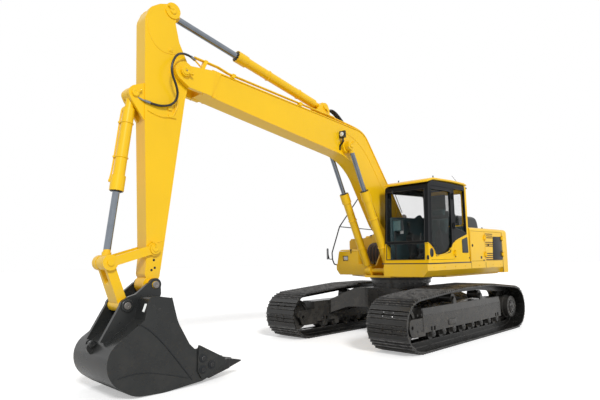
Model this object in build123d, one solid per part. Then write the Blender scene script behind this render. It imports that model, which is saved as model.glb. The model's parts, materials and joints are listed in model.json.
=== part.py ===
from build123d import *
import os
from math import atan2, cos, hypot, pi, radians, sin

# Crawler excavator, millimetres. +X forward, +Y to the operator's left, +Z up, ground at z = 0.
# It is built about the swing axis and moved at the end, so that x = 0 is the middle of its length.

# ---- Clearances --------------------------------------------------------------------------
SEAT = 0.3            # between pieces that rest on each other
PIN_FIT = 0.3         # radial, between a pin and its bore
SIDE_FIT = 6.0        # beside an eye that turns between two ears
MOVE_GAP = 6.0        # between panels that move past each other

# ---- Undercarriage -----------------------------------------------------------------------
GAUGE = 2590.0        # between the centre lines of the two tracks
WHEELBASE = 4040.0    # idler axle to sprocket axle
SHOE_WIDTH = 800.0
SHOE_COUNT = 48
GROUSER_REACH = 94.0  # from the chain's pin line to the grouser tips
SHOE_OUTER = 66.0     # from the pin line to the shoe plate's outer face
SHOE_INNER = 53.0
LINK_INNER = 42.0     # from the pin line in to the rail that the rollers run on
LINK_THICK = 55.0
LINK_SPREAD = 80.0    # from the track's centre line to the middle of a link
WHEEL_PITCH = 366.0   # radius of the pin line on idler and sprocket
CARRIER_RISE = 112.0  # how far the carrier rollers lift the chain
CARRIER_X = (387.0, -760.0)
CARRIER_RADIUS = 85.0
CARRIER_DROP = 10.0   # the chain of straight links sags this much inside its bend over a roller
ROLLER_RADIUS = 95.0
ROLLER_COUNT = 8
ROLLER_SPAN = 2660.0
FRAME_HALF = 185.0    # half width of a track frame
FRAME_PLATE = 32.0
FRAME_LOW = 285.0
FRAME_SHOULDER = 570.0
FRAME_TOP = 700.0
FRAME_FRONT = WHEELBASE / 2 - 420.0
FRAME_REAR = 410.0 - WHEELBASE / 2
GUARD_TIP = WHEELBASE / 2 + 20.0
GUARD_PLATE = 26.0
TIE_BORE = 34.0       # radius of the tie-down bore in each idler guard
TIE_X = WHEELBASE / 2 - 75.0
TIE_Z = 405.0
SLOT_X = (1220.0, 1325.0, -1350.0, -1455.0)   # lashing slots through both side plates
SLOT = (62.0, 74.0)   # length and height of a slot
SLOT_Z = 334.0
BODY_TOP = 960.0
LEG_REACH = GAUGE / 2 - FRAME_HALF - SEAT
RACE_RADIUS = 640.0

# ---- Upper structure ---------------------------------------------------------------------
HALF_WIDTH = 1342.0
TAIL_RADIUS = 2898.0
DECK_LOW = 1225.0
DECK_TOP = 1462.0
DECK_PLATE = 60.0
SKIRT_RISE = 112.0    # the skirt's crease above its lower edge
SKIRT_TUCK = 95.0     # and how far the lower edge is drawn in
BASE_LOW = 1186.0
RACE_TOP = BASE_LOW - SEAT
RACE_HEIGHT = 125.7
BASE_THICK = 44.0
WELL_HALF = 364.0     # half width of the well that the boom stands in
CAB_SIDE_FRONT = 1128.0
RIGHT_FRONT = 590.0
WEIGHT_FRONT = -2250.0
WEIGHT_TOP = 2207.0
WALL = 30.0           # sheet housings
CAB_WALL = 46.0
CAB_FLOOR = DECK_TOP + SEAT
CAB_ROOF = 3107.0
CAB_REAR = -575.0
CAB_INNER_Y = 364.0
SILL_X = 1090.0       # cab front at its foot
BROW_X = 985.0        # cab front at the roof
BROW_Z = 2990.0
HOUSING_FRONT = -640.0
HOOD_TOP = 2535.0

# ---- Boom, arm and bucket ----------------------------------------------------------------
BOOM_FOOT = (231.0, 1973.0)
BOOM_LENGTH = 5843.6
BOOM_PITCH = 23.5
BOOM_HALF = 160.0
FORK_HALF = 245.0
ARM_LENGTH = 3031.9
ARM_PITCH = -82.23
ARM_HALF = 128.0
BUCKET_HALF = 504.0
BUCKET_WALL = 26.0
BOOM_ROD_EYE = (2306.0, 955.0)      # in the boom's frame: along the chord, above it
ARM_CYL_FOOT = (3060.0, 1385.0)
ARM_ROD_EYE = (-857.0, 283.0)       # in the arm's frame: along it, forward of it
BUCKET_CYL_FOOT = (546.0, 627.0)
LEVER_PIVOT = (2569.0, 48.0)
BOOM_CYL_FOOT = (790.0, 1330.0)     # on the upper structure, swing axis at x = 0
LINK_TOP = (573.0, 296.0)           # in the bucket's frame, from the arm's tip pin
LINK_FOOT = (376.0, -240.0)
BOOM_CYL_Y = 262.0


def turned(point, pitch, origin):
    """A point of a pitched frame, in the frame of the machine."""
    c, s = cos(radians(pitch)), sin(radians(pitch))
    return (origin[0] + point[0] * c - point[1] * s, origin[1] + point[0] * s + point[1] * c)


BOOM_TIP = turned((BOOM_LENGTH, 0), BOOM_PITCH, BOOM_FOOT)
ARM_TIP = turned((ARM_LENGTH, 0), ARM_PITCH, BOOM_TIP)
BOOM_EYE_AT = turned(BOOM_ROD_EYE, BOOM_PITCH, BOOM_FOOT)
ARM_FOOT_AT = turned(ARM_CYL_FOOT, BOOM_PITCH, BOOM_FOOT)
ARM_EYE_AT = turned(ARM_ROD_EYE, ARM_PITCH, BOOM_TIP)
BUCKET_FOOT_AT = turned(BUCKET_CYL_FOOT, ARM_PITCH, BOOM_TIP)
LEVER_AT = turned(LEVER_PIVOT, ARM_PITCH, BOOM_TIP)
LINK_TOP_AT = (ARM_TIP[0] + LINK_TOP[0], ARM_TIP[1] + LINK_TOP[1])
LINK_FOOT_AT = (ARM_TIP[0] + LINK_FOOT[0], ARM_TIP[1] + LINK_FOOT[1])


# ---- Shapes ------------------------------------------------------------------------------
def outline(table, lift):
    """A closed face from rows of (first, second, corner radius)."""
    points = [lift(row[0], row[1]) for row in table]
    radii = [row[2] if len(row) > 2 else 0 for row in table]
    line = FilletPolyline(*points, radius=radii, close=True) if any(radii) else Polyline(*points, close=True)
    return make_face(line)


def side(table, y0, y1):
    """Side profile, rows of (x, z, radius), from y0 to y1."""
    return extrude(outline(table, lambda x, z: (x, y0, z)), amount=y1 - y0, dir=(0, 1, 0))


def plan(table, z0, z1):
    """Plan profile, rows of (x, y, radius), from z0 to z1."""
    return extrude(outline(table, lambda x, y: (x, y, z0)), amount=z1 - z0, dir=(0, 0, 1))


def front(table, x0, x1):
    """Front profile, rows of (y, z, radius), from x0 to x1."""
    return extrude(outline(table, lambda y, z: (x0, y, z)), amount=x1 - x0, dir=(1, 0, 0))


def block(x0, x1, y0, y1, z0, z1):
    return Pos((x0 + x1) / 2, (y0 + y1) / 2, (z0 + z1) / 2) * Box(x1 - x0, y1 - y0, z1 - z0)


def bar(point, radius, y0, y1):
    """A round bar along Y through (x, z)."""
    return Pos(point[0], (y0 + y1) / 2, point[1]) * Rot(90, 0, 0) * Cylinder(radius, y1 - y0)


def shaft(a, b, radius):
    """A round bar from a to b, both (x, y, z)."""
    a, b = Vector(*a), Vector(*b)
    base = Plane(origin=(a + b) / 2, z_dir=b - a)
    return base * Cylinder(radius, (b - a).length)


def tube(points, radius, bend):
    """A round tube along straight runs with bends of one radius."""
    path = FilletPolyline(*points, radius=bend)
    start, ahead = Vector(*points[0]), Vector(*points[1])
    return sweep(Plane(origin=start, z_dir=ahead - start) * Circle(radius), path=path)


def both(shape):
    """A shape and its mirror image on the other side."""
    return shape + mirror(shape, about=Plane.XZ)


def pitched(shape, pitch, origin):
    return Pos(origin[0], 0, origin[1]) * Rot(0, -pitch, 0) * shape


def apart(*shapes):
    """Solids of one node that don't touch."""
    return Compound([solid for shape in shapes for solid in shape.solids()])


# ---- Undercarriage -----------------------------------------------------------------------
def chain_line():
    """The pin line of one track, clockwise from the idler's lowest point."""
    r, half = WHEEL_PITCH, WHEELBASE / 2
    axle = GROUSER_REACH + r
    lifted = axle + r + CARRIER_RISE
    front_tilt = atan2(CARRIER_RISE, half - CARRIER_X[0])
    rear_tilt = atan2(CARRIER_RISE, half + CARRIER_X[1])
    idler_top = (half + r * sin(front_tilt), axle + r * cos(front_tilt))
    sprocket_top = (-half - r * sin(rear_tilt), axle + r * cos(rear_tilt))
    lift = lambda x, z: (x, 0, z)
    idler = ThreePointArc(lift(half, axle - r), lift(half + r, axle), lift(*idler_top))
    sprocket = ThreePointArc(lift(*sprocket_top), lift(-half - r, axle), lift(-half, axle - r))
    top = Polyline(lift(*idler_top), lift(CARRIER_X[0], lifted), lift(CARRIER_X[1], lifted), lift(*sprocket_top))
    ground = Line(lift(-half, axle - r), lift(half, axle - r))
    return Wire([idler, *top.edges(), sprocket, ground])


def chain_offset(pins, reach, steps):
    """Points beside the pin line: for each link, rows of (share of the link, reach)."""
    points = []
    for i, a in enumerate(pins):
        b = pins[(i + 1) % len(pins)]
        along = (b - a).normalized()
        out = Vector(along.Z, 0, -along.X)
        points += [a + (b - a) * share + out * (reach + extra) for share, extra in steps]
    return points


def track():
    """One closed chain with its shoes, about y = 0."""
    line = chain_line()
    pins = [line.position_at(i / SHOE_COUNT) for i in range(SHOE_COUNT)]
    tall = GROUSER_REACH - SHOE_OUTER
    grousers = [(c + d, e) for c in (0.17, 0.5, 0.83) for d, e in ((-0.07, 0), (0, tall), (0.07, 0))]
    shoes = Face(Wire.make_polygon(chain_offset(pins, SHOE_OUTER, grousers)),
                 [Wire.make_polygon(chain_offset(pins, SHOE_INNER, [(0.5, 0)]))])
    links = Face(Wire.make_polygon(chain_offset(pins, SHOE_INNER, [(0.5, 0)])),
                 [Wire.make_polygon(chain_offset(pins, -LINK_INNER, [(0.5, 0)]))])
    shape = Pos(0, -SHOE_WIDTH / 2, 0) * extrude(shoes, amount=SHOE_WIDTH, dir=(0, 1, 0))
    for middle in (-LINK_SPREAD, LINK_SPREAD):
        shape += Pos(0, middle - LINK_THICK / 2, 0) * extrude(links, amount=LINK_THICK, dir=(0, 1, 0))
    return shape


AXLE_Z = GROUSER_REACH + WHEEL_PITCH
LINK_TURN = chain_line().length / SHOE_COUNT / 2 / WHEEL_PITCH
RAIL_RADIUS = (WHEEL_PITCH * cos(LINK_TURN) - LINK_INNER) * cos(LINK_TURN) - SEAT
RAIL_HALF = LINK_SPREAD + LINK_THICK / 2


def idler():
    wheel = bar((WHEELBASE / 2, AXLE_Z), RAIL_RADIUS, -RAIL_HALF, RAIL_HALF)
    wheel -= both(bar((WHEELBASE / 2, AXLE_Z), RAIL_RADIUS - 60, -RAIL_HALF, -RAIL_HALF + 35))
    reach = FRAME_HALF - GUARD_PLATE - SEAT
    return wheel + bar((WHEELBASE / 2, AXLE_Z), 75, -reach, reach)


def sprocket():
    centre = (-WHEELBASE / 2, AXLE_Z)
    ring = bar(centre, WHEEL_PITCH + 4, -30, 30)
    teeth = 21
    for i in range(teeth):
        a = 2 * pi * (i + 0.5) / teeth
        gap = (centre[0] + (WHEEL_PITCH + 8) * cos(a), centre[1] + (WHEEL_PITCH + 8) * sin(a))
        ring -= bar(gap, 38, -31, 31)
    drive = bar(centre, 250, -FRAME_HALF + FRAME_PLATE + SEAT, 150) + bar(centre, 225, 150, 262)
    return ring + drive + bar(centre, 150, 262, 285)


def roller(x, z, radius):
    """A track roller with the two saddles that hang it under the side plates of the frame."""
    body = bar((x, z), radius, -RAIL_HALF - 12, RAIL_HALF + 12)
    saddle = block(x - 60, x + 60, RAIL_HALF + 11, FRAME_HALF - 4, z - 45, FRAME_LOW - SEAT)
    return body + both(saddle)


def track_rollers():
    z = GROUSER_REACH + LINK_INNER + SEAT + ROLLER_RADIUS
    xs = [ROLLER_SPAN * (i / (ROLLER_COUNT - 1) - 0.5) - 60 for i in range(ROLLER_COUNT)]
    return [roller(x, z, ROLLER_RADIUS) for x in xs]


def carrier_rollers():
    z = AXLE_Z + WHEEL_PITCH + CARRIER_RISE - LINK_INNER - CARRIER_DROP - CARRIER_RADIUS
    shapes = []
    for x in CARRIER_X:
        wheel = bar((x, z), CARRIER_RADIUS, -LINK_SPREAD - 40, LINK_SPREAD + 40)
        post = side([(x - 50, FRAME_TOP + SEAT), (x + 50, FRAME_TOP + SEAT), (x + 50, z - 20, 30), (x, z + 45, 30),
                     (x - 50, z - 20, 30)], LINK_SPREAD + 48, LINK_SPREAD + 78)
        axle = bar((x, z), 32, -LINK_SPREAD - 40, LINK_SPREAD + 60)
        shapes.append(wheel + axle + post)
    return shapes


def track_frame():
    """One track frame about y = 0, outer side at +Y."""
    h, p = FRAME_HALF, FRAME_PLATE
    roof = [(-h, FRAME_LOW), (-h, FRAME_SHOULDER), (-160, FRAME_TOP), (160, FRAME_TOP), (h, FRAME_SHOULDER), (h, FRAME_LOW),
            (h - p, FRAME_LOW), (h - p, 380), (p - h, 380), (p - h, FRAME_LOW)]
    beam = front(roof, FRAME_REAR, FRAME_FRONT)
    guard = [(FRAME_FRONT - 60, 235), (GUARD_TIP - 60, 235, 120), (GUARD_TIP, 400, 120), (GUARD_TIP - 30, 541, 60),
             (FRAME_FRONT - 60, 541)]
    guards = both(side(guard, h - GUARD_PLATE, h)) - bar((TIE_X, TIE_Z), TIE_BORE, h - GUARD_PLATE - 1, h + 1)
    guards -= bar((TIE_X, TIE_Z), TIE_BORE, -h - 1, GUARD_PLATE - h + 1)
    rear = [(FRAME_REAR + 60, 300), (-WHEELBASE / 2 - 60, 330, 60), (-WHEELBASE / 2 - 120, AXLE_Z, 60),
            (-WHEELBASE / 2 - 60, 620, 60), (FRAME_REAR + 60, FRAME_SHOULDER)]
    carrier = side(rear, -h, p - h)
    carrier -= bar((-WHEELBASE / 2, AXLE_Z), 120, -h - 1, p - h + 1)
    for x in SLOT_X:
        beam -= block(x - SLOT[0] / 2, x + SLOT[0] / 2, -h - 1, h + 1, SLOT_Z - SLOT[1] / 2, SLOT_Z + SLOT[1] / 2)
    return beam + guards + carrier


def centre_frame():
    """The car body: an arched cross member with the swing pedestal on it."""
    arch = [(-LEG_REACH, 420), (-760, 560, 200), (760, 560, 200), (LEG_REACH, 420), (LEG_REACH, 690), (620, BODY_TOP, 120),
            (-620, BODY_TOP, 120), (-LEG_REACH, 690)]
    legs = [(-1150, -LEG_REACH), (-620, -LEG_REACH, 60), (-330, -760, 260), (330, -760, 260), (620, -LEG_REACH, 60),
            (1150, -LEG_REACH), (1150, -LEG_REACH + 60), (700, -420, 200), (700, 420, 200), (1150, LEG_REACH - 60),
            (1150, LEG_REACH), (620, LEG_REACH, 60), (330, 760, 260), (-330, 760, 260), (-620, LEG_REACH, 60),
            (-1150, LEG_REACH), (-1150, LEG_REACH - 60), (-700, 420, 200), (-700, -420, 200), (-1150, -LEG_REACH + 60)]
    body = front(arch, -1200, 1200) & plan(legs, 400, 1000)
    race_low = RACE_TOP - RACE_HEIGHT
    pedestal = shaft((0, 0, BODY_TOP - 40), (0, 0, race_low), RACE_RADIUS - 40)
    race = shaft((0, 0, race_low), (0, 0, RACE_TOP), RACE_RADIUS)
    race -= shaft((0, 0, race_low + 20), (0, 0, RACE_TOP + 1), RACE_RADIUS - 110)
    return body + pedestal + race


# ---- Upper structure ---------------------------------------------------------------------
BRACKET_IN = BOOM_HALF + SIDE_FIT
BRACKET_OUT = BRACKET_IN + 30.0
EYE_HALF = 48.0       # half width of a boom cylinder's eye
FOOT_PIN = 55.0
CYL_PIN = 45.0


def deck(x0, x1):
    """The left deck: an inverted channel with a chamfered outer skirt, closed at its front."""
    y0, y1, t = WELL_HALF, HALF_WIDTH, DECK_PLATE
    crease = DECK_LOW + SKIRT_RISE
    skin = [(y0, DECK_LOW), (y0, DECK_TOP), (y1, DECK_TOP), (y1, crease), (y1 - SKIRT_TUCK, DECK_LOW)]
    core = [(y0 + t, DECK_LOW - 1), (y0 + t, DECK_TOP - t), (y1 - t, DECK_TOP - t), (y1 - t, crease),
            (y1 - t - SKIRT_TUCK, DECK_LOW - 1)]
    return front(skin, x0, x1) - front(core, x0 - 1, x1 - t)


def revolving_frame():
    base = plan([(WEIGHT_FRONT, -1200), (200, -1200), (700, -WELL_HALF - 20), (860, -WELL_HALF + 40), (860, WELL_HALF - 40),
                 (700, WELL_HALF + 20), (200, 1200), (WEIGHT_FRONT, 1200)], BASE_LOW, BASE_LOW + BASE_THICK)
    decks = deck(WEIGHT_FRONT, CAB_SIDE_FRONT) + mirror(deck(WEIGHT_FRONT, RIGHT_FRONT), about=Plane.XZ)
    foot, pin = BOOM_CYL_FOOT, BOOM_FOOT
    top = BASE_LOW + BASE_THICK - 1
    plate = [(-970, top), (-970, 1400, 60), (pin[0] - 330, pin[1] - 120, 300), (pin[0] - 60, pin[1] + 120, 60),
             (pin[0] + 120, pin[1] + 80, 60), (pin[0] + 180, pin[1] - 200, 200), (foot[0] - 150, foot[1] + 110, 100),
             (foot[0], foot[1] + 60, 0), (foot[0] + 60, foot[1], 0), (foot[0] + 20, top)]
    brackets = side(plate, BRACKET_IN, BRACKET_OUT)
    brackets += bar(pin, 160, BRACKET_IN, BRACKET_OUT + 12)
    brackets += bar(foot, 105, BRACKET_IN, BOOM_CYL_Y - EYE_HALF - SIDE_FIT)
    pins = bar(pin, FOOT_PIN, -BRACKET_OUT - 12, BRACKET_OUT + 12)
    pins += bar(foot, CYL_PIN, -BOOM_CYL_Y - EYE_HALF - SIDE_FIT, BOOM_CYL_Y + EYE_HALF + SIDE_FIT)
    collars = bar(foot, 75, BOOM_CYL_Y + EYE_HALF + SIDE_FIT, BOOM_CYL_Y + EYE_HALF + SIDE_FIT + 18)
    return base + decks + both(brackets) + pins + both(collars)


def cab_solid(inset):
    """The cab's outer form, drawn in by inset on every side."""
    i = inset
    profile = [(SILL_X - i, CAB_FLOOR + i), (BROW_X - i, BROW_Z - i * 0.4, 60), (BROW_X - 215 - i * 0.5, CAB_ROOF - i, 60),
               (CAB_REAR + i, CAB_ROOF - i, 110), (CAB_REAR + i, CAB_FLOOR + i)]
    section = [(CAB_INNER_Y + i, CAB_FLOOR), (CAB_INNER_Y + i, CAB_ROOF - i, 70), (HALF_WIDTH - i, CAB_ROOF - i, 70),
               (HALF_WIDTH - i, CAB_FLOOR)]
    return side(profile, CAB_INNER_Y, HALF_WIDTH) & front(section, CAB_REAR - 10, SILL_X + 10)


PANE_DEPTH = 26.0     # from the cab's outer face to a pane
PANE = 8.0
DOOR_HINGE_X = 60.0
DOOR_OPENING = [(DOOR_HINGE_X, CAB_FLOOR + 75, 40), (1010, CAB_FLOOR + 75, 60), (930, 2970, 60), (DOOR_HINGE_X, 2970, 60)]
DOOR_GLASS = [(DOOR_HINGE_X + 70, 2250, 30), (DOOR_HINGE_X + 90, 1850, 60), (240, 1680, 90), (790, 1610, 90),
              (900, 1800, 120), (945, 1880, 40), (880, 2905, 50), (DOOR_HINGE_X + 70, 2905, 50)]
SIDE_WINDOWS = {      # rows of (x, z, corner radius)
    "rear_left": (HALF_WIDTH, [(-10, 2180, 30), (-10, 2980, 40), (-480, 2980, 40), (-480, 2080, 40)]),
    "right": (CAB_INNER_Y, [(-480, 2050, 60), (880, 1950, 60), (830, 2900, 60), (-480, 2940, 60)]),
}
END_WINDOWS = {       # rows of (y, z, corner radius)
    "front_upper": (1, [(410, 1900, 40), (1265, 1900, 40), (1265, 2900, 60), (410, 2900, 60)]),
    "front_lower": (1, [(410, 1550, 40), (1265, 1550, 40), (1265, 1850, 40), (410, 1850, 40)]),
    "rear": (-1, [(430, 2250, 50), (1240, 2250, 50), (1240, 2930, 50), (430, 2930, 50)]),
}
HATCH = [(-330, 470, 60), (420, 470, 60), (420, 1200, 60), (-330, 1200, 60)]


def window_prisms(shrink):
    """One prism through the wall for each fixed window."""
    prisms = []
    reach = CAB_WALL + 20
    for face_y, rows in SIDE_WINDOWS.values():
        face = outline(rows, lambda x, z: (x, face_y - reach, z))
        face = offset(face, -shrink) if shrink else face
        prisms.append(extrude(face, amount=2 * reach, dir=(0, 1, 0)))
    for end, rows in END_WINDOWS.values():
        x = 800 if end > 0 else CAB_REAR - 20
        face = outline(rows, lambda y, z: (x, y, z))
        face = offset(face, -shrink) if shrink else face
        prisms.append(extrude(face, amount=400 if end > 0 else reach, dir=(1, 0, 0)))
    face = outline(HATCH, lambda x, y: (x, y, CAB_ROOF - reach))
    face = offset(face, -shrink) if shrink else face
    prisms.append(extrude(face, amount=2 * reach, dir=(0, 0, 1)))
    return prisms


HINGE_OUT = 24.0      # from a panel's surface to its hinge axis
KNUCKLE = 17.0


def hinge(origin, toward, axis, spots, reach, lift=0.0):
    """Pins for the fixed side and knuckles for the moving side, at spots along the axis.

    toward points from the axis over the moving panel, which lies lift above the fixed surface.
    """
    place = Plane(origin=origin, x_dir=toward, z_dir=axis)
    fixed, moving = [], []
    for s in spots:
        pin = Pos(0, 0, s) * Cylinder(8, 120)
        lug = Cylinder(KNUCKLE, 24) + Pos(-14, -HINGE_OUT / 2, 0) * Box(28, HINGE_OUT, 24)
        lugs = [Pos(0, 0, s + e) * lug for e in (-48, 48)]
        fixed.append(place * (pin + lugs[0] + lugs[1]))
        tube = Cylinder(KNUCKLE, 64) + Pos(reach / 2, (lift - HINGE_OUT) / 2, 0) * Box(reach, HINGE_OUT - lift, 64)
        moving.append(place * (Pos(0, 0, s) * (tube - Cylinder(8 + PIN_FIT, 66))))
    return fixed, moving


DOOR_HINGE = dict(origin=(DOOR_HINGE_X, HALF_WIDTH + HINGE_OUT, CAB_FLOOR), toward=(1, 0, 0), axis=(0, 0, 1),
                  spots=(200, 750, 1350), reach=50)


def cab():
    shell = cab_solid(0) - cab_solid(CAB_WALL)
    shell -= side(DOOR_OPENING, HALF_WIDTH - CAB_WALL - 1, HALF_WIDTH + 1)
    for prism in window_prisms(0):
        shell -= prism
    for piece in hinge(**DOOR_HINGE)[0]:
        shell += piece
    return shell


def cab_glass():
    layer = cab_solid(PANE_DEPTH) - cab_solid(PANE_DEPTH + PANE)
    return [prism & layer for prism in window_prisms(SEAT)]


def cab_door():
    """The door with its glass opening, and its glass."""
    opening = outline(DOOR_OPENING, lambda x, z: (x, HALF_WIDTH - CAB_WALL, z))
    prism = extrude(offset(opening, -MOVE_GAP), amount=CAB_WALL, dir=(0, 1, 0))
    hole = outline(DOOR_GLASS, lambda x, z: (x, HALF_WIDTH - CAB_WALL - 5, z))
    frame = prism - extrude(hole, amount=CAB_WALL + 10, dir=(0, 1, 0))
    for piece in hinge(**DOOR_HINGE)[1]:
        frame += piece
    pane = extrude(offset(hole, -SEAT), amount=PANE, dir=(0, 1, 0))
    return frame, Pos(0, CAB_WALL + 5 - PANE_DEPTH - PANE, 0) * pane


CONSOLE_IN = CAB_INNER_Y + CAB_WALL + 20.0
CONSOLE_WIDTH = 140.0
SEAT_IN = CONSOLE_IN + CONSOLE_WIDTH + 20.0
SEAT_OUT = SEAT_IN + 500.0
SEAT_RISE = 250.0     # of the cushion's underside over the cab's floor
SEAT_BACK_TOP = 1130.0
ARM_REST = 520.0
MONITOR = (850.0, 620.0, 210.0)     # front face, foot over the floor and height of the screen
MONITOR_SIDES = (CONSOLE_IN - 10.0, CONSOLE_IN + 190.0)


def seat():
    """The operator's seat on its box."""
    floor = CAB_FLOOR + CAB_WALL + SEAT
    low, top = floor + SEAT_RISE, floor + SEAT_BACK_TOP
    base = block(-150, 300, SEAT_IN + 50, SEAT_OUT - 50, floor, low - 10)
    base += block(-200, 280, SEAT_IN + 50, SEAT_OUT - 50, low - 50, low + 10)
    cushion = side([(-230, low), (330, low, 40), (360, low + 90, 50), (300, low + 130, 60), (-120, low + 100)], SEAT_IN, SEAT_OUT)
    back = side([(-230, low), (-90, low), (-180, top - 170, 60), (-250, top, 50), (-350, top, 50), (-340, top - 230, 60)],
                SEAT_IN + 10, SEAT_OUT - 10)
    return base + cushion + back


def consoles():
    """The consoles beside the seat with their levers, the travel pedals and the monitor."""
    floor = CAB_FLOOR + CAB_WALL + SEAT
    rest = floor + ARM_REST
    arm_box = [(-250, floor), (250, floor), (420, rest - 40, 60), (380, rest + 40, 60), (-250, rest, 60)]
    shapes = []
    for y0 in (CONSOLE_IN, SEAT_OUT + 20):
        y = y0 + CONSOLE_WIDTH / 2
        lever = shaft((330, y, rest), (360, y, rest + 200), 14) + shaft((356, y, rest + 180), (372, y, rest + 280), 32)
        shapes.append(side(arm_box, y0, y0 + CONSOLE_WIDTH) + lever)
    middle = (SEAT_IN + SEAT_OUT) / 2
    for y in (middle - 90, middle + 90):
        shapes.append(shaft((760, y, floor + 3.3), (620, y, floor + 560), 13) +
                      shaft((650, y - 40, floor + 440), (650, y + 40, floor + 440), 11))
    face, foot, tall = MONITOR
    y0, y1 = MONITOR_SIDES
    post = block(face - 50, face, y0 + 20, y0 + 50, floor, floor + foot + 80)
    shapes.append(post + block(face - 80, face, y0, y1, floor + foot, floor + foot + tall))
    return shapes


def counterweight():
    x1 = WEIGHT_FRONT - SEAT
    z0 = BASE_LOW + 20
    body = Pos(0, 0, (z0 + WEIGHT_TOP) / 2) * Cylinder(TAIL_RADIUS, WEIGHT_TOP - z0)
    body &= block(-TAIL_RADIUS - 10, x1, -HALF_WIDTH, HALF_WIDTH, z0, WEIGHT_TOP)
    corner = (TAIL_RADIUS ** 2 - HALF_WIDTH ** 2) ** 0.5
    edges = [e for e in body.edges() if abs(abs(e.center().Y) - HALF_WIDTH) < 1 and abs(e.center().X + corner) < 1]
    body = fillet(edges, 110)
    crown = [e for e in body.edges() if e.center().Z > WEIGHT_TOP - 1 and e.center().X < x1 - 5]
    return fillet(crown, 90)


ROUND = 70.0
LEFT_FRONT_DOOR = (-1325.0, -665.0)
LEFT_REAR_DOOR = (-2235.0, -1345.0)
RIGHT_REAR_DOOR = (-2235.0, -1045.0)
DOOR_LOW, DOOR_HIGH = DECK_TOP + 25, WEIGHT_TOP - 75
RIGHT_HOUSING_FRONT = -1010.0
LOUVRE_LENGTH = 375.0
LOUVRE_INSET = 20.0
LOUVRES = ((1500.0, 1680.0, 4), (1800.0, 1925.0, 3), (1985.0, 2110.0, 3))

HOOD = (-2095.0, -1150.0)
HOOD_SIDES = (-500.0, 860.0)
HOOD_BACK = 200.0     # radius of the hood's rear top edge
HOOD_EDGE = 90.0


def housing():
    rows = [(WEIGHT_FRONT, -HALF_WIDTH), (RIGHT_HOUSING_FRONT, -HALF_WIDTH), (RIGHT_HOUSING_FRONT, WELL_HALF),
            (HOUSING_FRONT, WELL_HALF), (HOUSING_FRONT, HALF_WIDTH), (WEIGHT_FRONT, HALF_WIDTH)]
    w = WALL
    inner = [(WEIGHT_FRONT - 1, -HALF_WIDTH + w), (RIGHT_HOUSING_FRONT - w, -HALF_WIDTH + w), (RIGHT_HOUSING_FRONT - w, WELL_HALF + w),
             (HOUSING_FRONT - w, WELL_HALF + w), (HOUSING_FRONT - w, HALF_WIDTH - w), (WEIGHT_FRONT - 1, HALF_WIDTH - w)]
    z0 = DECK_TOP
    section = [(-HALF_WIDTH, z0 - 300), (-HALF_WIDTH, WEIGHT_TOP, ROUND), (HALF_WIDTH, WEIGHT_TOP, ROUND), (HALF_WIDTH, z0 - 300)]
    lining = [(w - HALF_WIDTH, z0 - 300), (w - HALF_WIDTH, WEIGHT_TOP - w, ROUND - w), (HALF_WIDTH - w, WEIGHT_TOP - w, ROUND - w),
              (HALF_WIDTH - w, z0 - 300)]
    shell = plan(rows, z0, WEIGHT_TOP) & front(section, WEIGHT_FRONT, HOUSING_FRONT)
    shell -= plan(inner, z0 - 1, WEIGHT_TOP - w) & front(lining, WEIGHT_FRONT - 1, HOUSING_FRONT)
    for x0, x1 in (LEFT_FRONT_DOOR, LEFT_REAR_DOOR):
        shell -= block(x0, x1, HALF_WIDTH - w - 1, HALF_WIDTH + 1, DOOR_LOW, DOOR_HIGH)
    shell -= block(*RIGHT_REAR_DOOR, -HALF_WIDTH - 1, w - HALF_WIDTH + 1, DOOR_LOW, DOOR_HIGH)
    shell -= block(HOOD[0] + 60, HOOD[1] - 60, HOOD_SIDES[0] + 60, HOOD_SIDES[1] - 60, WEIGHT_TOP - w - 1, WEIGHT_TOP + 1)
    for spec in PANEL_HINGES.values():
        for piece in hinge(**spec)[0]:
            shell += piece
    return shell


PANEL_HINGES = {
    "left_front_door": dict(origin=(LEFT_FRONT_DOOR[0], HALF_WIDTH + HINGE_OUT, 0), toward=(1, 0, 0), axis=(0, 0, 1),
                            spots=(DOOR_LOW + 140, DOOR_HIGH - 140), reach=45),
    "left_rear_door": dict(origin=(LEFT_REAR_DOOR[0], HALF_WIDTH + HINGE_OUT, 0), toward=(1, 0, 0), axis=(0, 0, 1),
                           spots=(DOOR_LOW + 140, DOOR_HIGH - 140), reach=45),
    "right_rear_door": dict(origin=(RIGHT_REAR_DOOR[0], -HALF_WIDTH - HINGE_OUT, 0), toward=(1, 0, 0), axis=(0, 0, -1),
                            spots=(-DOOR_LOW - 140, 140 - DOOR_HIGH), reach=45),
    "engine_hood": dict(origin=(HOOD[1] + 25, 0, WEIGHT_TOP + HINGE_OUT), toward=(-1, 0, 0), axis=(0, 1, 0),
                        spots=(HOOD_SIDES[0] + 190, HOOD_SIDES[1] - 190), reach=40, lift=MOVE_GAP),
}


def side_door(span, sign, name, louvres=()):
    """A panel with rows of slanted louvres, each row (first z, last z, slots) at its forward end."""
    g = MOVE_GAP
    y0, y1 = sorted((sign * (HALF_WIDTH - WALL), sign * HALF_WIDTH))
    panel = block(span[0] + g, span[1] - g, y0, y1, DOOR_LOW + g, DOOR_HIGH - g)
    x1 = span[1] - LOUVRE_INSET
    for low, high, slots in louvres:
        pitch = (high - low) / slots
        for i in range(slots):
            z = low + pitch * i
            cut = front([(y0 - 1, z + pitch * 0.55), (y0 - 1, z + pitch * 0.2), (y1 + 1, z), (y1 + 1, z + pitch * 0.35)],
                        x1 - LOUVRE_LENGTH, x1)
            panel -= cut
    for piece in hinge(**PANEL_HINGES[name])[1]:
        panel += piece
    return panel


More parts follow.
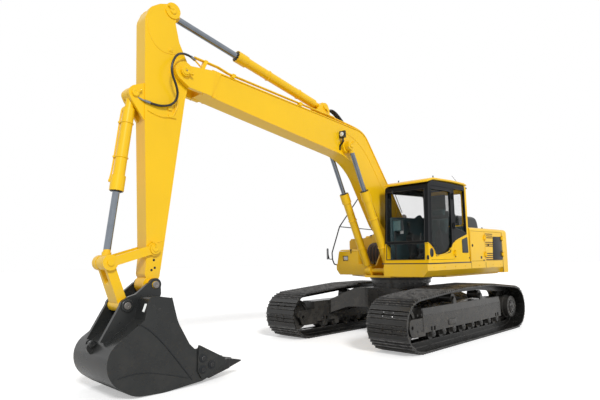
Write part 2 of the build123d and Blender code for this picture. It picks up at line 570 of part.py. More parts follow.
def engine_hood():
    """A hollow cover over the engine, rounded over its rear and sides."""
    def form(inset, floor):
        x0, x1 = HOOD[0] + inset, HOOD[1] - inset
        y0, y1 = HOOD_SIDES[0] + inset, HOOD_SIDES[1] - inset
        top = HOOD_TOP - inset
        profile = [(x0, floor), (x0 + 30, top, HOOD_BACK - inset), (x1 - 40, top, HOOD_EDGE - inset), (x1, floor)]
        section = [(y0, floor), (y0 + 30, top, HOOD_EDGE - inset), (y1 - 30, top, HOOD_EDGE - inset), (y1, floor)]
        return side(profile, y0, y1) & front(section, x0, x1)
    cover = form(0, WEIGHT_TOP + MOVE_GAP) - form(WALL, WEIGHT_TOP + MOVE_GAP - 1)
    for piece in hinge(**PANEL_HINGES["engine_hood"])[1]:
        cover += piece
    return cover


ENGINE = (WEIGHT_FRONT + 100, -1150.0)
ENGINE_TOP = 1950.0
HYDRAULIC_TOP = 2130.0
FUEL_TOP = 2050.0
FUEL_FRONT = 95.0
TANK_SPLIT = -500.0
TANK_GAP = 12.0
TANK_EDGE = 60.0


def tank(x0, x1, top):
    """A tank on the right deck with a chamfered outer edge and a filler cap."""
    y0, y1 = -HALF_WIDTH, -WELL_HALF - 40
    rows = [(y0, DECK_TOP + SEAT), (y0, top - TANK_EDGE), (y0 + TANK_EDGE, top), (y1, top), (y1, DECK_TOP + SEAT)]
    middle = ((x0 + x1) / 2, (y0 + y1) / 2)
    cap = Pos(*middle, top + 20) * Cylinder(75, 40) + Pos(*middle, top + 45) * Cylinder(58, 30)
    return front(rows, x0, x1) + cap


TOOLBOX = (150.0, RIGHT_FRONT - 5, 20 - HALF_WIDTH, -700.0, DECK_TOP + SEAT, 1750.0)
TOOLBOX_LEAN = 60.0   # how far its outer side leans in at the top
LAMP_NICHE = (-1140.0, -1000.0, 1545.0, 1645.0)
NICHE_DEPTH = 45.0
TOOLBOX_HINGE = dict(origin=(TOOLBOX[0] + 20, 0, TOOLBOX[5] + HINGE_OUT), toward=(1, 0, 0), axis=(0, -1, 0),
                     spots=(-TOOLBOX[3] + 150, -TOOLBOX[2] - TOOLBOX_LEAN - 120), reach=50, lift=MOVE_GAP)


def toolbox():
    """The storage box at the right front, hollow, and its lid."""
    x0, x1, y0, y1, z0, z1 = TOOLBOX
    w, lean = WALL, TOOLBOX_LEAN
    box = front([(y0, z0), (y0 + lean, z1), (y1, z1), (y1, z0)], x0, x1)
    box -= front([(y0 + w, z0 + w), (y0 + lean + w, z1 + 1), (y1 - w, z1 + 1), (y1 - w, z0 + w)], x0 + w, x1 - w)
    niche = LAMP_NICHE
    box += block(x1 - NICHE_DEPTH - w, x1 - w + 1, niche[0] - w, niche[1] + w, niche[2] - w, niche[3] + w)
    box -= block(x1 - NICHE_DEPTH, x1 + 1, *niche)
    fixed, moving = hinge(**TOOLBOX_HINGE)
    for piece in fixed:
        box += piece
    low, high = z1 + MOVE_GAP, z1 + 40
    lid = side([(x0 + 45, low), (x1, low), (x1 - 45, high, 20), (x0 + 45, high)], y0 + lean, y1)
    lid &= front([(y0 + lean, low), (y0 + lean + 40, high), (y1, high), (y1, low)], x0, x1 + 1)
    for piece in moving:
        lid += piece
    return box, lid


EXHAUST_AT = (-1500.0, -900.0)


def exhaust():
    top = WEIGHT_TOP + SEAT
    x, y, bend = *EXHAUST_AT, 150.0
    pipe = tube([(x, y, top), (x, y, top + 300), (x - bend, y, top + 300 + bend)], 62, 120)
    return pipe + shaft((x, y, top), (x, y, top + 30), 95)


# ---- Boom --------------------------------------------------------------------------------
BOOM_ROWS = [(-150, 0, 120), (-135, 300, 200), (-15, 500, 200), (1908, 1563, 450), (BOOM_LENGTH, 231, 0),
             (BOOM_LENGTH, -190, 0), (4300, 219, 900), (1970, 847, 1100), (700, 10, 500), (120, -165, 60)]
BOOM_SLOT = 395.0     # from the tip pin back to the end of the box
BOOM_BOX_END = BOOM_LENGTH - BOOM_SLOT
EAR_ROWS = [(-533, -52), (-160, -168, 40), (0, -145), (0, 114), (-438, 350)]   # from the tip pin
EAR_IN = ARM_HALF + SIDE_FIT + 4.0
EAR_OUT = 205.0
EAR_RADIUS = 145.0    # of the ears around the arm's pin
EAR_BOSS = 78.0
FLANGE = 18.0
TIP_PIN = 55.0
FOOT_EAR_IN = 70.0    # ears of the arm and bucket cylinders' feet
FOOT_EAR_OUT = 112.0


def boom():
    face = outline(BOOM_ROWS, lambda x, z: (x, 0, z))
    half = extrude(face, amount=BOOM_HALF, dir=(0, 1, 0))
    recess = Pos(0, BOOM_HALF - 14, 0) * extrude(offset(face, -FLANGE), amount=20, dir=(0, 1, 0))
    half -= recess & block(300, BOOM_LENGTH + EAR_ROWS[0][0] - 20, 0, 400, -400, 2000)
    half -= block(BOOM_BOX_END, BOOM_LENGTH + 400, -1, EAR_OUT + 50, -600, 800)
    ears = Pos(BOOM_LENGTH, 0, 0) * side(EAR_ROWS, EAR_IN, EAR_OUT)
    tip, eye = (BOOM_LENGTH, 0), BOOM_ROD_EYE
    ears += bar(tip, EAR_RADIUS, EAR_IN, EAR_OUT) + bar(tip, EAR_BOSS, EAR_IN, FORK_HALF)
    boss = bar(eye, 135, 0, BOOM_CYL_Y - EYE_HALF - SIDE_FIT)
    foot = bar((0, 0), 165, 0, BOOM_HALF)
    half += ears
    half += boss
    half += foot
    x, z = ARM_CYL_FOOT
    bracket = side([(x - 330, z - 300), (x + 260, z - 430), (x + 110, z + 20, 60), (x - 10, z + 110, 90), (x - 120, z + 20, 90)],
                   FOOT_EAR_IN, FOOT_EAR_OUT)
    half += bracket
    whole = both(half) + bar(tip, TIP_PIN, -FORK_HALF, FORK_HALF) + bar(ARM_CYL_FOOT, CYL_PIN, -FOOT_EAR_OUT - 14, FOOT_EAR_OUT + 14)
    whole -= bar((0, 0), FOOT_PIN + PIN_FIT, -BOOM_HALF - 5, BOOM_HALF + 5)
    return pitched(whole, BOOM_PITCH, BOOM_FOOT)


# ---- Arm ---------------------------------------------------------------------------------
NOSE_HALF = 169.0
NOSE_RADIUS = 78.0    # of the nose beside the arm's box, clear of the levers
ARM_ROWS = [(-960, 300, 90), (-866, 488, 160), (-745, 620, 160), (-560, 668, 200), (800, 458, 0), (2700, 128, 0), (2915, 118, 60),
            (3010, 50, 0), (3000, -60, 0), (2925, -95, 60), (374, -108, 500), (-60, -150, 150), (-430, 110, 200), (-700, 215, 120),
            (-890, 180, 90)]
CYL_EYE_HALF = 62.0
ROD_SWAY = 55.0       # how far the arm rod's eye sways along its slot, because that linkage is opened there
LINK_FOOT_RADIUS = 78.0
LEVER_IN = ARM_HALF + SIDE_FIT
LEVER_OUT = LEVER_IN + 34.0
NOSE_PIN = 48.0
BUCKET_EAR_IN = NOSE_HALF + SIDE_FIT
BUCKET_EAR_OUT = BUCKET_EAR_IN + 50.0


def arm():
    face = outline(ARM_ROWS, lambda x, z: (x, 0, z))
    half = extrude(face, amount=ARM_HALF, dir=(0, 1, 0))
    half += bar((0, 0), 185, 0, ARM_HALF + 4)
    slot = ARM_ROD_EYE[0] + ARM_CYL["eye_radius"] + ROD_SWAY
    half -= block(-1300, slot, -1, CYL_EYE_HALF + SIDE_FIT, -200, 900)
    half += bar(ARM_ROD_EYE, 118, CYL_EYE_HALF + SIDE_FIT, ARM_HALF + 16)
    half += bar((ARM_LENGTH, 0), 118, 0, ARM_HALF) + bar((ARM_LENGTH, 0), NOSE_RADIUS, 0, NOSE_HALF)
    half += bar(LEVER_PIVOT, 82, ARM_HALF - 20, ARM_HALF + 0.5)
    half += bar(LEVER_PIVOT, 44, ARM_HALF - 20, LEVER_OUT + 10)
    half += bar(LEVER_PIVOT, 70, LEVER_OUT + SIDE_FIT, LEVER_OUT + 20)
    x, z = BUCKET_CYL_FOOT
    half += side([(x - 230, z - 190), (x + 430, z - 275), (x + 90, z + 50, 60), (x, z + 108, 80), (x - 90, z + 50, 60)],
                 FOOT_EAR_IN, FOOT_EAR_OUT)
    whole = both(half) + bar(BUCKET_CYL_FOOT, CYL_PIN, -FOOT_EAR_OUT - 14, FOOT_EAR_OUT + 14)
    whole += bar((ARM_LENGTH, 0), NOSE_PIN, -BUCKET_EAR_OUT - 14, BUCKET_EAR_OUT + 14)
    whole -= bar((0, 0), TIP_PIN + PIN_FIT, -ARM_HALF - 10, ARM_HALF + 10)
    return pitched(whole, ARM_PITCH, BOOM_TIP)


# ---- Cylinders ---------------------------------------------------------------------------
def cylinder(foot, eye, y, barrel_length, hidden, neck, bore, rod, collar, eye_radius, eye_half, pin):
    """Barrel and rod of one cylinder from its foot pin to its rod's eye, both (x, z).

    hidden is how much of the rod the barrel holds at rest, enough for its whole stroke.
    """
    start, end = Vector(foot[0], y, foot[1]), Vector(eye[0], y, eye[1])
    along = (end - start).normalized()
    gland = start + along * barrel_length
    barrel = shaft(start + along * neck, gland, bore) + shaft(gland - along * 190, gland + along * 12, bore + 16)
    barrel += shaft(start + along * eye_radius * 0.6, start + along * (neck + 1), eye_half - 2)
    barrel += bar(foot, eye_radius, y - eye_half, y + eye_half)
    barrel -= bar(foot, pin + PIN_FIT, y - eye_half - 1, y + eye_half + 1)
    barrel -= shaft(start + along * (neck + 30), gland + along * 20, rod + PIN_FIT)
    piston = shaft(start + along * (barrel_length - hidden), end, rod)
    piston += shaft(end - along * (eye_radius + 40), end, collar) + bar(eye, eye_radius, y - eye_half, y + eye_half)
    return barrel, piston


BOOM_CYL = dict(barrel_length=1735, hidden=590, neck=140, bore=80, rod=44, collar=47, eye_radius=92, eye_half=EYE_HALF, pin=CYL_PIN)
ARM_CYL = dict(barrel_length=2063, hidden=665, neck=215, bore=82, rod=52, collar=60, eye_radius=100, eye_half=CYL_EYE_HALF, pin=CYL_PIN)
BUCKET_CYL = dict(barrel_length=1330, hidden=590, neck=205, bore=76, rod=46, collar=58, eye_radius=92, eye_half=CYL_EYE_HALF, pin=CYL_PIN)


def boom_cylinders():
    left = cylinder(BOOM_CYL_FOOT, BOOM_EYE_AT, BOOM_CYL_Y, **BOOM_CYL)
    right = cylinder(BOOM_CYL_FOOT, BOOM_EYE_AT, -BOOM_CYL_Y, **BOOM_CYL)
    return apart(left[0], right[0]), apart(left[1], right[1])


# ---- Pipes, hoses, lamp and rail ---------------------------------------------------------
PIPE = 13.0
PIPE_RISE = 48.0      # of the pipes over the boom's top
PIPE_LANES = ((128.0, 158.0), (156.0, 190.0))    # sideways along the boom and at its tip
PIPE_CLAMPS = (3670.0, 5090.0)
TIP_STAND = 5610.0
TIP_RISE = 66.0


def on_line(x, first, last):
    """Height at x of the straight line through two rows of a profile."""
    return first[1] + (last[1] - first[1]) * (x - first[0]) / (last[0] - first[0])


def boom_top(x):
    """Height of the upper edge of the boom's front half at x, in the boom's frame."""
    return on_line(x, BOOM_ROWS[3], BOOM_ROWS[4])


def ear_top(x):
    return on_line(x - BOOM_LENGTH, EAR_ROWS[3], EAR_ROWS[4])


def post(x, half_length, foot, top, y0, y1):
    """An upright plate block whose foot and top follow two lines of the boom."""
    low, high = x - half_length, x + half_length
    return side([(low, foot(low) + SEAT), (low, top(low)), (high, top(high)), (high, foot(high) + SEAT)], y0, y1)


def boom_pipes():
    """Two pipes along each side of the boom's top, with their clamps and the stands at the tip."""
    half = []
    for lane, tip_y in PIPE_LANES:
        path = [(2800, lane, boom_top(2800) + PIPE_RISE), (5180, lane, boom_top(5180) + PIPE_RISE),
                (5400, tip_y, boom_top(5400) + TIP_RISE), (5798, tip_y, boom_top(5798) + TIP_RISE)]
        half.append(tube(path, PIPE, 90))
    lanes = [lane for lane, _ in PIPE_LANES]
    for x in PIPE_CLAMPS:
        half.append(post(x, 30, boom_top, lambda at: boom_top(at) + PIPE_RISE + PIPE + 9, lanes[0] - 20, lanes[1] + 20))
    half.append(post(TIP_STAND, 26, ear_top, lambda at: boom_top(at) + TIP_RISE + PIPE + 9, EAR_IN, EAR_OUT))
    whole = half[0]
    for piece in half[1:]:
        whole += piece
    return pitched(apart(both(whole)), BOOM_PITCH, BOOM_FOOT)


LAMP = (2087.0, 2150.0, 165.0, 290.0, 3900.0, 4035.0)
LAMP_POST = 42.0
LAMP_STEP = 17.0      # from the lamp's back to its strip, clear of the rod's boss
BOOM_FACE = BOOM_HALF - 14.0


def work_lamp():
    """The lamp on the boom's left side, on a bent strip."""
    x0, x1, y0, y1, z0, z1 = LAMP
    head = block(*LAMP)
    head = fillet([e for e in head.edges() if abs(e.center().X - x0) < 1], 25)
    head -= block(x1 - 10, x1 + 1, y0 + 12, y1 - 12, z0 + 12, z1 - 12)
    y, out, low = BOOM_FACE + SEAT, (y0 + y1) / 2, z0 - 225
    strip = [(y, low), (y + 9, low), (y + 9, low + 80), (out + 9, low + 150), (out + 9, z0 + 1), (out, z0 + 1), (out, low + 154),
             (y, low + 84)]
    return head + front(strip, x0 + LAMP_STEP, x0 + LAMP_STEP + LAMP_POST)


RAIL = 14.0
RAIL_LINE = [(500, 1440), (650, 1462), (712, 1570), (721, 1727), (431, 2338), (-300, 3055), (-420, 3085), (-880, 3085),
             (-960, 3000), (-960, 1990)]
MIRROR_AT = (850.0, -1380.0, 1700.0)


def right_rail():
    """The guard rail from the right front corner of the deck over the tanks, with the mirror on its foot."""
    y = -HALF_WIDTH - SEAT - RAIL
    rail = tube([(x, y, z) for x, z in RAIL_LINE], RAIL, 40)
    rail += shaft((431, y, 2338), (-960, y, 2300), RAIL - 3)
    mx, my, mz = MIRROR_AT
    rail += tube([(712, y, 1580), (mx - 30, y, 1580), (mx - 20, my, mz), (mx, my, mz + 20)], 9, 12)
    glass = Pos(*MIRROR_AT) * Rot(0, 0, 48.5) * fillet(Box(180, 26, 250).edges().filter_by(Axis.Y), 40)
    return rail + glass


# ---- Bucket linkage ----------------------------------------------------------------------
def strap(a, b, radius_a, radius_b, width, y0, y1):
    """A flat link between two points, with round ends."""
    ax, az, bx, bz = *a, *b
    length = hypot(bx - ax, bz - az)
    nx, nz = -(bz - az) / length * width / 2, (bx - ax) / length * width / 2
    body = side([(ax + nx, az + nz), (bx + nx, bz + nz), (bx - nx, bz - nz), (ax - nx, az - nz)], y0, y1)
    return body + bar(a, radius_a, y0, y1) + bar(b, radius_b, y0, y1)


def levers():
    lever = strap(LEVER_AT, LINK_TOP_AT, 90, 98, 116, LEVER_IN, LEVER_OUT)
    lever -= bar(LEVER_AT, 44 + PIN_FIT, LEVER_IN - 1, LEVER_OUT + 1)
    lever += bar(LINK_TOP_AT, 42, CYL_EYE_HALF + SIDE_FIT, LEVER_OUT + 16)
    return apart(lever, mirror(lever, about=Plane.XZ))


def bucket_link():
    """The H-shaped link: two ears above, a cross tube below."""
    ear_in, ear_out = CYL_EYE_HALF + SIDE_FIT, ARM_HALF - 2.0
    ax, az, bx, bz = *LINK_TOP_AT, *LINK_FOOT_AT
    share = 0.5
    mid = (ax + (bx - ax) * share, az + (bz - az) * share)
    half = strap(LINK_TOP_AT, mid, 98, 60, 120, ear_in, ear_out)
    half += strap(mid, LINK_FOOT_AT, 60, LINK_FOOT_RADIUS, 120, 0, NOSE_HALF - 40)
    half += bar(LINK_FOOT_AT, LINK_FOOT_RADIUS, 0, NOSE_HALF)
    link = both(half)
    return link - bar(LINK_TOP_AT, 42 + PIN_FIT, -ear_out - 1, ear_out + 1)


# ---- Bucket ------------------------------------------------------------------------------
# Rows of (x, z, corner radius) from the arm's tip pin, with the bucket as it stands at rest.
BUCKET_BACK = [(-88, -157, 0), (353, -456, 60), (700, -700, 260), (770, -1010, 330), (400, -1280, 420), (0, -1299, 600),
               (-540, -1258, 0), (-900, -1140, 0)]
SIDE_FRONT = [(-900, -1106, 0), (-880, -1040, 0), (-500, -815, 0), (-470, -840, 15), (-425, -838, 30), (-347, -763, 80),
              (-175, -470, 500)]
INNER_FACE = [(-28, -127, 0), (-140, -120, 0), (-1100, -900, 0), (-1000, -1090, 0), (-900, -1106, 0), (-530, -1227, 0),
              (0, -1267, 560), (385, -1250, 390), (735, -1000, 300), (668, -712, 230), (340, -484, 60), (-60, -212, 0)]
SHOULDER = [(-88, -162), (112, -128, 40), (225, -134, 40), (284, -436), (240, -398), (-40, -200)]
BUCKET_EAR = [(-60, -190, 0), (640, -660, 0), (700, -640, 0), (455, -215, 90), (375, -135, 60), (262, -104, 120), (85, 35, 80),
              (-75, 30, 80), (-85, -120, 60)]
LUG = [(600, -665), (640, -660), (705, -640, 20), (790, -700, 50), (760, -760, 30), (715, -815, 30), (650, -740)]
LUG_HALF = 26.0
LUG_BOSSES = ((632, -716), (717, -672))
CUTTER = [(-474, -788, 12), (-469, -867, 0), (-463, -1127, 30), (-526, -1231, 20), (-797, -1117, 20), (-905, -1085, 10),
          (-885, -1010, 15)]
CUTTER_PLATE = 24.0


def from_tip(rows):
    """Rows measured from the arm's tip pin, in the frame of the machine."""
    return [(ARM_TIP[0] + row[0], ARM_TIP[1] + row[1], *row[2:]) for row in rows]


def bucket():
    """The shell with its ears, the stiff shoulders beside them and the cast lug on its back."""
    shell = side(from_tip(BUCKET_BACK + SIDE_FRONT), -BUCKET_HALF, BUCKET_HALF)
    inner = BUCKET_HALF - BUCKET_WALL
    shell -= side(from_tip(INNER_FACE), -inner, inner)
    ears = side(from_tip(BUCKET_EAR), BUCKET_EAR_IN, BUCKET_EAR_OUT) + side(from_tip(SHOULDER), BUCKET_EAR_OUT - 1, BUCKET_HALF)
    ears += bar(ARM_TIP, 85, BUCKET_EAR_IN, BUCKET_EAR_OUT) + bar(LINK_FOOT_AT, 90, BUCKET_EAR_IN, BUCKET_EAR_OUT)
    ears += bar(LINK_FOOT_AT, 45, BUCKET_EAR_IN, BUCKET_EAR_OUT + 14)
    ears -= bar(ARM_TIP, NOSE_PIN + PIN_FIT, BUCKET_EAR_IN - 1, BUCKET_EAR_OUT + 1)
    lug = side(from_tip(LUG), -LUG_HALF, LUG_HALF)
    for x, z in LUG_BOSSES:
        lug += bar((ARM_TIP[0] + x, ARM_TIP[1] + z), 34, -LUG_HALF - 18, LUG_HALF + 18)
    return shell + both(ears) + lug


def side_cutters():
    """The bolted cutters on the front edges of the bucket's sides."""
    cutter = side(from_tip(CUTTER), BUCKET_HALF + SEAT, BUCKET_HALF + SEAT + CUTTER_PLATE)
    return [cutter, mirror(cutter, about=Plane.XZ)]


TOOTH = [(-1212, -1112), (-1208, -1096), (-972, -1040, 40), (-815, -1075, 20), (-780, -1130), (-780, -1170), (-640, -1222),
         (-655, -1252, 10), (-1000, -1172)]
LIP = [(-900, -1106), (-530, -1227), (-540, -1258), (-900, -1140)]
TOOTH_HALF = 38.0


def bucket_teeth():
    """Five teeth whose adapters straddle the lip."""
    h = TOOTH_HALF
    lip = offset(outline(from_tip(LIP), lambda x, z: (x, -h - 5, z)), SEAT)
    tooth = side(from_tip(TOOTH), -h, h) - extrude(lip, amount=2 * h + 10, dir=(0, 1, 0))
    tooth -= both(side(from_tip([(-1230, -1200), (-1230, -1000), (-1000, -1000), (-1000, -1200)]), h - 16, h + 1))
    outer = BUCKET_HALF - BUCKET_WALL - h - SEAT
    return [Pos(0, outer * share, 0) * tooth for share in (-1, -0.5, 0, 0.5, 1)]


# ---- Everything --------------------------------------------------------------------------
def sided(shape):
    """One piece of the left track and its mirror on the right."""
    left = Pos(0, GAUGE / 2, 0) * shape
    return left, mirror(left, about=Plane.XZ)


def pieces():
    found = {}
    found["centre_frame"] = centre_frame()
    found["track_frame_left"], found["track_frame_right"] = sided(track_frame())
    found["track_left"], found["track_right"] = sided(track())
    found["idlers"] = apart(*sided(idler()))
    found["sprockets"] = apart(*sided(sprocket()))
    found["track_rollers"] = apart(*[s for r in track_rollers() for s in sided(r)])
    found["carrier_rollers"] = apart(*[s for r in carrier_rollers() for s in sided(r)])
    found["revolving_frame"] = revolving_frame()
    found["cab"] = cab()
    found["cab_glass"] = apart(*cab_glass())
    found["cab_door"], found["cab_door_glass"] = cab_door()
    found["seat"] = seat()
    found["consoles"] = apart(*consoles())
    found["counterweight"] = counterweight()
    found["housing"] = housing()
    found["left_front_door"] = side_door(LEFT_FRONT_DOOR, 1, "left_front_door")
    found["left_rear_door"] = side_door(LEFT_REAR_DOOR, 1, "left_rear_door", LOUVRES)
    found["right_rear_door"] = side_door(RIGHT_REAR_DOOR, -1, "right_rear_door")
    found["engine_hood"] = engine_hood()
    found["engine"] = block(*ENGINE, SEAT - WELL_HALF, WELL_HALF - SEAT, BASE_LOW + BASE_THICK + SEAT, ENGINE_TOP)
    found["hydraulic_tank"] = tank(RIGHT_HOUSING_FRONT + TANK_GAP, TANK_SPLIT, HYDRAULIC_TOP)
    found["fuel_tank"] = tank(TANK_SPLIT + TANK_GAP, FUEL_FRONT, FUEL_TOP)
    found["toolbox"], found["toolbox_lid"] = toolbox()
    found["exhaust"] = exhaust()
    found["boom"] = boom()
    found["boom_barrels"], found["boom_rods"] = boom_cylinders()
    found["arm_barrel"], found["arm_rod"] = cylinder(ARM_FOOT_AT, ARM_EYE_AT, 0, **ARM_CYL)
    found["arm"] = arm()
    found["bucket_barrel"], found["bucket_rod"] = cylinder(BUCKET_FOOT_AT, LINK_TOP_AT, 0, **BUCKET_CYL)
    found["levers"] = levers()
    found["bucket_link"] = bucket_link()
    found["bucket"] = bucket()
    found["bucket_teeth"] = apart(*bucket_teeth())
    found["side_cutters"] = apart(*side_cutters())
    found["boom_pipes"] = boom_pipes()
    found["work_lamp"] = work_lamp()
    found["right_rail"] = right_rail()
    return found


PIECES = pieces()
LOW_X = min(shape.bounding_box().min.X for shape in PIECES.values())
HIGH_X = max(shape.bounding_box().max.X for shape in PIECES.values())
SHIFT = -(LOW_X + HIGH_X) / 2
os.makedirs("parts", exist_ok=True)
for name, shape in PIECES.items():
    export_step(Pos(SHIFT, 0, 0) * shape, f"parts/{name}.step")
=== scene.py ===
"""Looks of the crawler excavator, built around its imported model. +X forward, +Y left, +Z up."""
import json
import math
import bpy
from mathutils import Matrix, Vector


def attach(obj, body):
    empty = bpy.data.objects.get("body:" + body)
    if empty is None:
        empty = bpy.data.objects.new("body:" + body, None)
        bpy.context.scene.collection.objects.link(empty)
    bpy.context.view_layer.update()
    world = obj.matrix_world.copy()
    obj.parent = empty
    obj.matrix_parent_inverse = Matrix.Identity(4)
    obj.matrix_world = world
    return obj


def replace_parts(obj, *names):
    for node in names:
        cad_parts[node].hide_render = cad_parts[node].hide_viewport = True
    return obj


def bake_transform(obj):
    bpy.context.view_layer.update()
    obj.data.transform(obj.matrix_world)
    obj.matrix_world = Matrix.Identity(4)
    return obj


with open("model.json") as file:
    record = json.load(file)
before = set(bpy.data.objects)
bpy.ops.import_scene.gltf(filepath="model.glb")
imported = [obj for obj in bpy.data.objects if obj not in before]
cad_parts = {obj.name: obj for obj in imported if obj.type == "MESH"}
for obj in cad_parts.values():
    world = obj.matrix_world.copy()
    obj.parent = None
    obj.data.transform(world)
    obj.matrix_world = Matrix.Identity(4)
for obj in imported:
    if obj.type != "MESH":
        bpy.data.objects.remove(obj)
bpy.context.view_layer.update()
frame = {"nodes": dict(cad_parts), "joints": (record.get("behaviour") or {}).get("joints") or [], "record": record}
NODES = frame["nodes"]
for loaded in NODES.values():
    loaded.select_set(False)
SWING = Vector(next(j for j in frame["joints"] if j["name"] == "swing")["pos_m"])

# Pins, in millimetres ahead of the swing axis and above the ground.
BOOM_FOOT, BOOM_TIP, ARM_END = (231, 1973), (5590, 4303), (6000, 1299)
BOOM_CYLINDER = (790, 1330), (1965, 3768)
ARM_CYLINDER = (2485, 4463), (5755, 5190)
BUCKET_CYLINDER = (6285, 3847), (6573, 1595)
LEVER_PIN, LINK_FOOT = (5985, 1764), (6376, 1059)


def here(x, y, z):
    """A place in metres, measured from the swing axis at ground level."""
    return Vector((SWING.x + x, y, z))


def bench(x, z, pitch):
    """A drawing frame in millimetres, laid into the machine at (x, z) and tilted up by pitch."""
    tilt = Matrix.Rotation(-math.radians(pitch), 4, "Y")
    return Matrix.Translation(here(x / 1000, 0, z / 1000)) @ tilt @ Matrix.Scale(0.001, 4)


GROUND = bench(0, 0, 0)
BOOM = bench(*BOOM_FOOT, 23.5)
ARM = bench(*BOOM_TIP, -82.23)
SCOOP = bench(*ARM_END, 0)


# ---- Shader expressions ---------------------------------------------------------------------
class Value:
    """A node socket that takes part in sums."""

    def __init__(self, nodes, socket):
        self.nodes, self.socket = nodes, socket

    def math(self, operation, *others):
        return self.nodes.add("ShaderNodeMath", {"operation": operation}, self, *others)

    def __add__(self, other):
        return self.math("ADD", other)

    def __mul__(self, other):
        return self.math("MULTIPLY", other)

    def __sub__(self, other):
        return self.math("SUBTRACT", other)

    def __rsub__(self, other):
        return self.nodes.add("ShaderNodeMath", {"operation": "SUBTRACT"}, other, self)

    def __pow__(self, other):
        return self.math("POWER", other)

    __radd__, __rmul__ = __add__, __mul__

    def most(self, other):
        return self.math("MAXIMUM", other)

    def step(self, low, high):
        """0 below low, 1 above high and smooth between them."""
        bounds = {"From Min": low, "From Max": high}
        return self.nodes.add("ShaderNodeMapRange", {"interpolation_type": "SMOOTHSTEP"}, Value=self,
                              **bounds)


class Nodes:
    """The nodes of a material or of the world."""

    def __init__(self, owner):
        owner.use_nodes = True
        self.tree = owner.node_tree

    def add(self, kind, settings=None, *values, out=0, **named):
        """Adds a node, fills its settings, then its sockets in order or by name."""
        node = self.tree.nodes.new(kind)
        for key, value in (settings or {}).items():
            if key == "rows":
                points = node.mapping.curves[0].points
                while len(points) < len(value):
                    points.new(0.5, 0.5)
                for point, row in zip(points, value):
                    point.location, point.handle_type = row, "VECTOR"
                node.mapping.update()
            else:
                setattr(node, key, value)
        for key, value in list(enumerate(values)) + list(named.items()):
            self.feed(node.inputs[key], value)
        return Value(self, node.outputs[out])

    def feed(self, socket, value):
        """Links a value to a socket, or sets the socket to a number or a colour."""
        if isinstance(value, Value):
            self.tree.links.new(value.socket, socket)
        elif hasattr(socket.default_value, "__len__") and len(value) == 3 and len(socket.default_value) == 4:
            socket.default_value = (*value, 1)
        else:
            socket.default_value = value

    def ray(self, kind):
        return self.add("ShaderNodeLightPath", out="Is " + kind + " Ray")


class Shader(Nodes):
    """One material and its patterns."""

    def __init__(self, name):
        self.material = bpy.data.materials.new(name)
        super().__init__(self.material)
        self.surface = self.tree.nodes["Principled BSDF"]
        self.place = self.add("ShaderNodeTexCoord", out="Object")
        self.normal = self.add("ShaderNodeNewGeometry", out="Normal")

    def noise(self, scale, detail=3.0, rough=0.5, stretch=None):
        at = self.place
        if stretch:
            at = self.add("ShaderNodeMapping", None, Vector=at, Scale=stretch)
        return self.add("ShaderNodeTexNoise", None, Vector=at, Scale=scale, Detail=detail, Roughness=rough)

    def blend(self, share, low, high):
        """A colour between low and high."""
        node = self.tree.nodes.new("ShaderNodeMix")
        node.data_type = "RGBA"
        for key, value in ((0, share), (6, low), (7, high)):
            self.feed(node.inputs[key], value)
        return Value(self, node.outputs[2])

    def split(self):
        """The three parts of a place on the surface, in metres."""
        node = self.add("ShaderNodeSeparateXYZ", None, self.place).socket.node
        return [Value(self, node.outputs[i]) for i in range(3)]

    def edges(self, width):
        """1 along the sharp edges of the surface, 0 elsewhere."""
        rounded = self.add("ShaderNodeBevel", {"samples": 4}, Radius=width)
        turn = self.add("ShaderNodeVectorMath", {"operation": "DOT_PRODUCT"}, rounded, self.normal, out=1)
        return (1.0 - turn).step(0.02, 0.25)

    def bump(self, height, distance, strength=1.0):
        return self.add("ShaderNodeBump", None, Strength=strength, Distance=distance, Height=height)

    def finish(self, colour, roughness, metallic=0.0, normal=None, **fixed):
        inputs = self.surface.inputs
        self.feed(inputs["Base Color"], colour)
        self.feed(inputs["Roughness"], roughness)
        self.feed(inputs["Metallic"], metallic)
        if normal:
            self.feed(inputs["Normal"], normal)
        for key, value in fixed.items():
            self.feed(inputs[key], value)
        return self.material


# ---- Finishes -------------------------------------------------------------------------------
YELLOW = (0.93, 0.56, 0.004)
BLACK = (0.005, 0.006, 0.0075)
DRY_MUD, GREY_DUST, RUST = (0.42, 0.36, 0.28), (0.17, 0.15, 0.125), (0.11, 0.045, 0.018)
BARE_STEEL, CHROME = (0.30, 0.29, 0.28), (0.30, 0.33, 0.37)


def shade(colour, share, lift=0.0):
    """The colour made darker or lighter."""
    return tuple(c * share + lift for c in colour)


def enamel(s, colour, dust):
    """Colour and roughness of sprayed enamel: slightly uneven, dusty low down, dull where water dried."""
    cloud = s.noise(1.3, 4.0)
    height = s.split()[2]
    settled = (1.0 - height.step(0.2, 2.6)) * s.noise(5.0, 6.0, 0.65).step(0.42, 0.75) * dust
    runs = s.noise(6.0, 5.0, 0.7, stretch=(1.0, 1.0, 0.12)).step(0.55, 0.8)
    tone = s.blend(cloud, shade(colour, 0.9), shade(colour, 1.05))
    tone = s.blend(runs * 0.12, tone, shade(colour, 0.72))
    tone = s.blend(settled, tone, DRY_MUD)
    return tone, cloud * 0.1 + settled * 0.4 + runs * 0.08


def machine_paint(name, colour, dust=0.22, gloss=0.24):
    """Sprayed enamel on steel, a little thin and dark along its edges."""
    s = Shader(name)
    tone, dull = enamel(s, colour, dust)
    rub = s.edges(0.004) * s.noise(11.0, 4.0).step(0.5, 0.75) * 0.35
    tone = s.blend(rub, tone, shade(colour, 0.45))
    fine = s.noise(140.0, 2.0)
    clear = {"Specular IOR Level": 0.4, "Coat Weight": 0.1, "Coat Roughness": 0.08}
    return s.finish(tone, fine * 0.06 + dull + gloss, normal=s.bump(fine, 0.0006, 0.2), **clear)


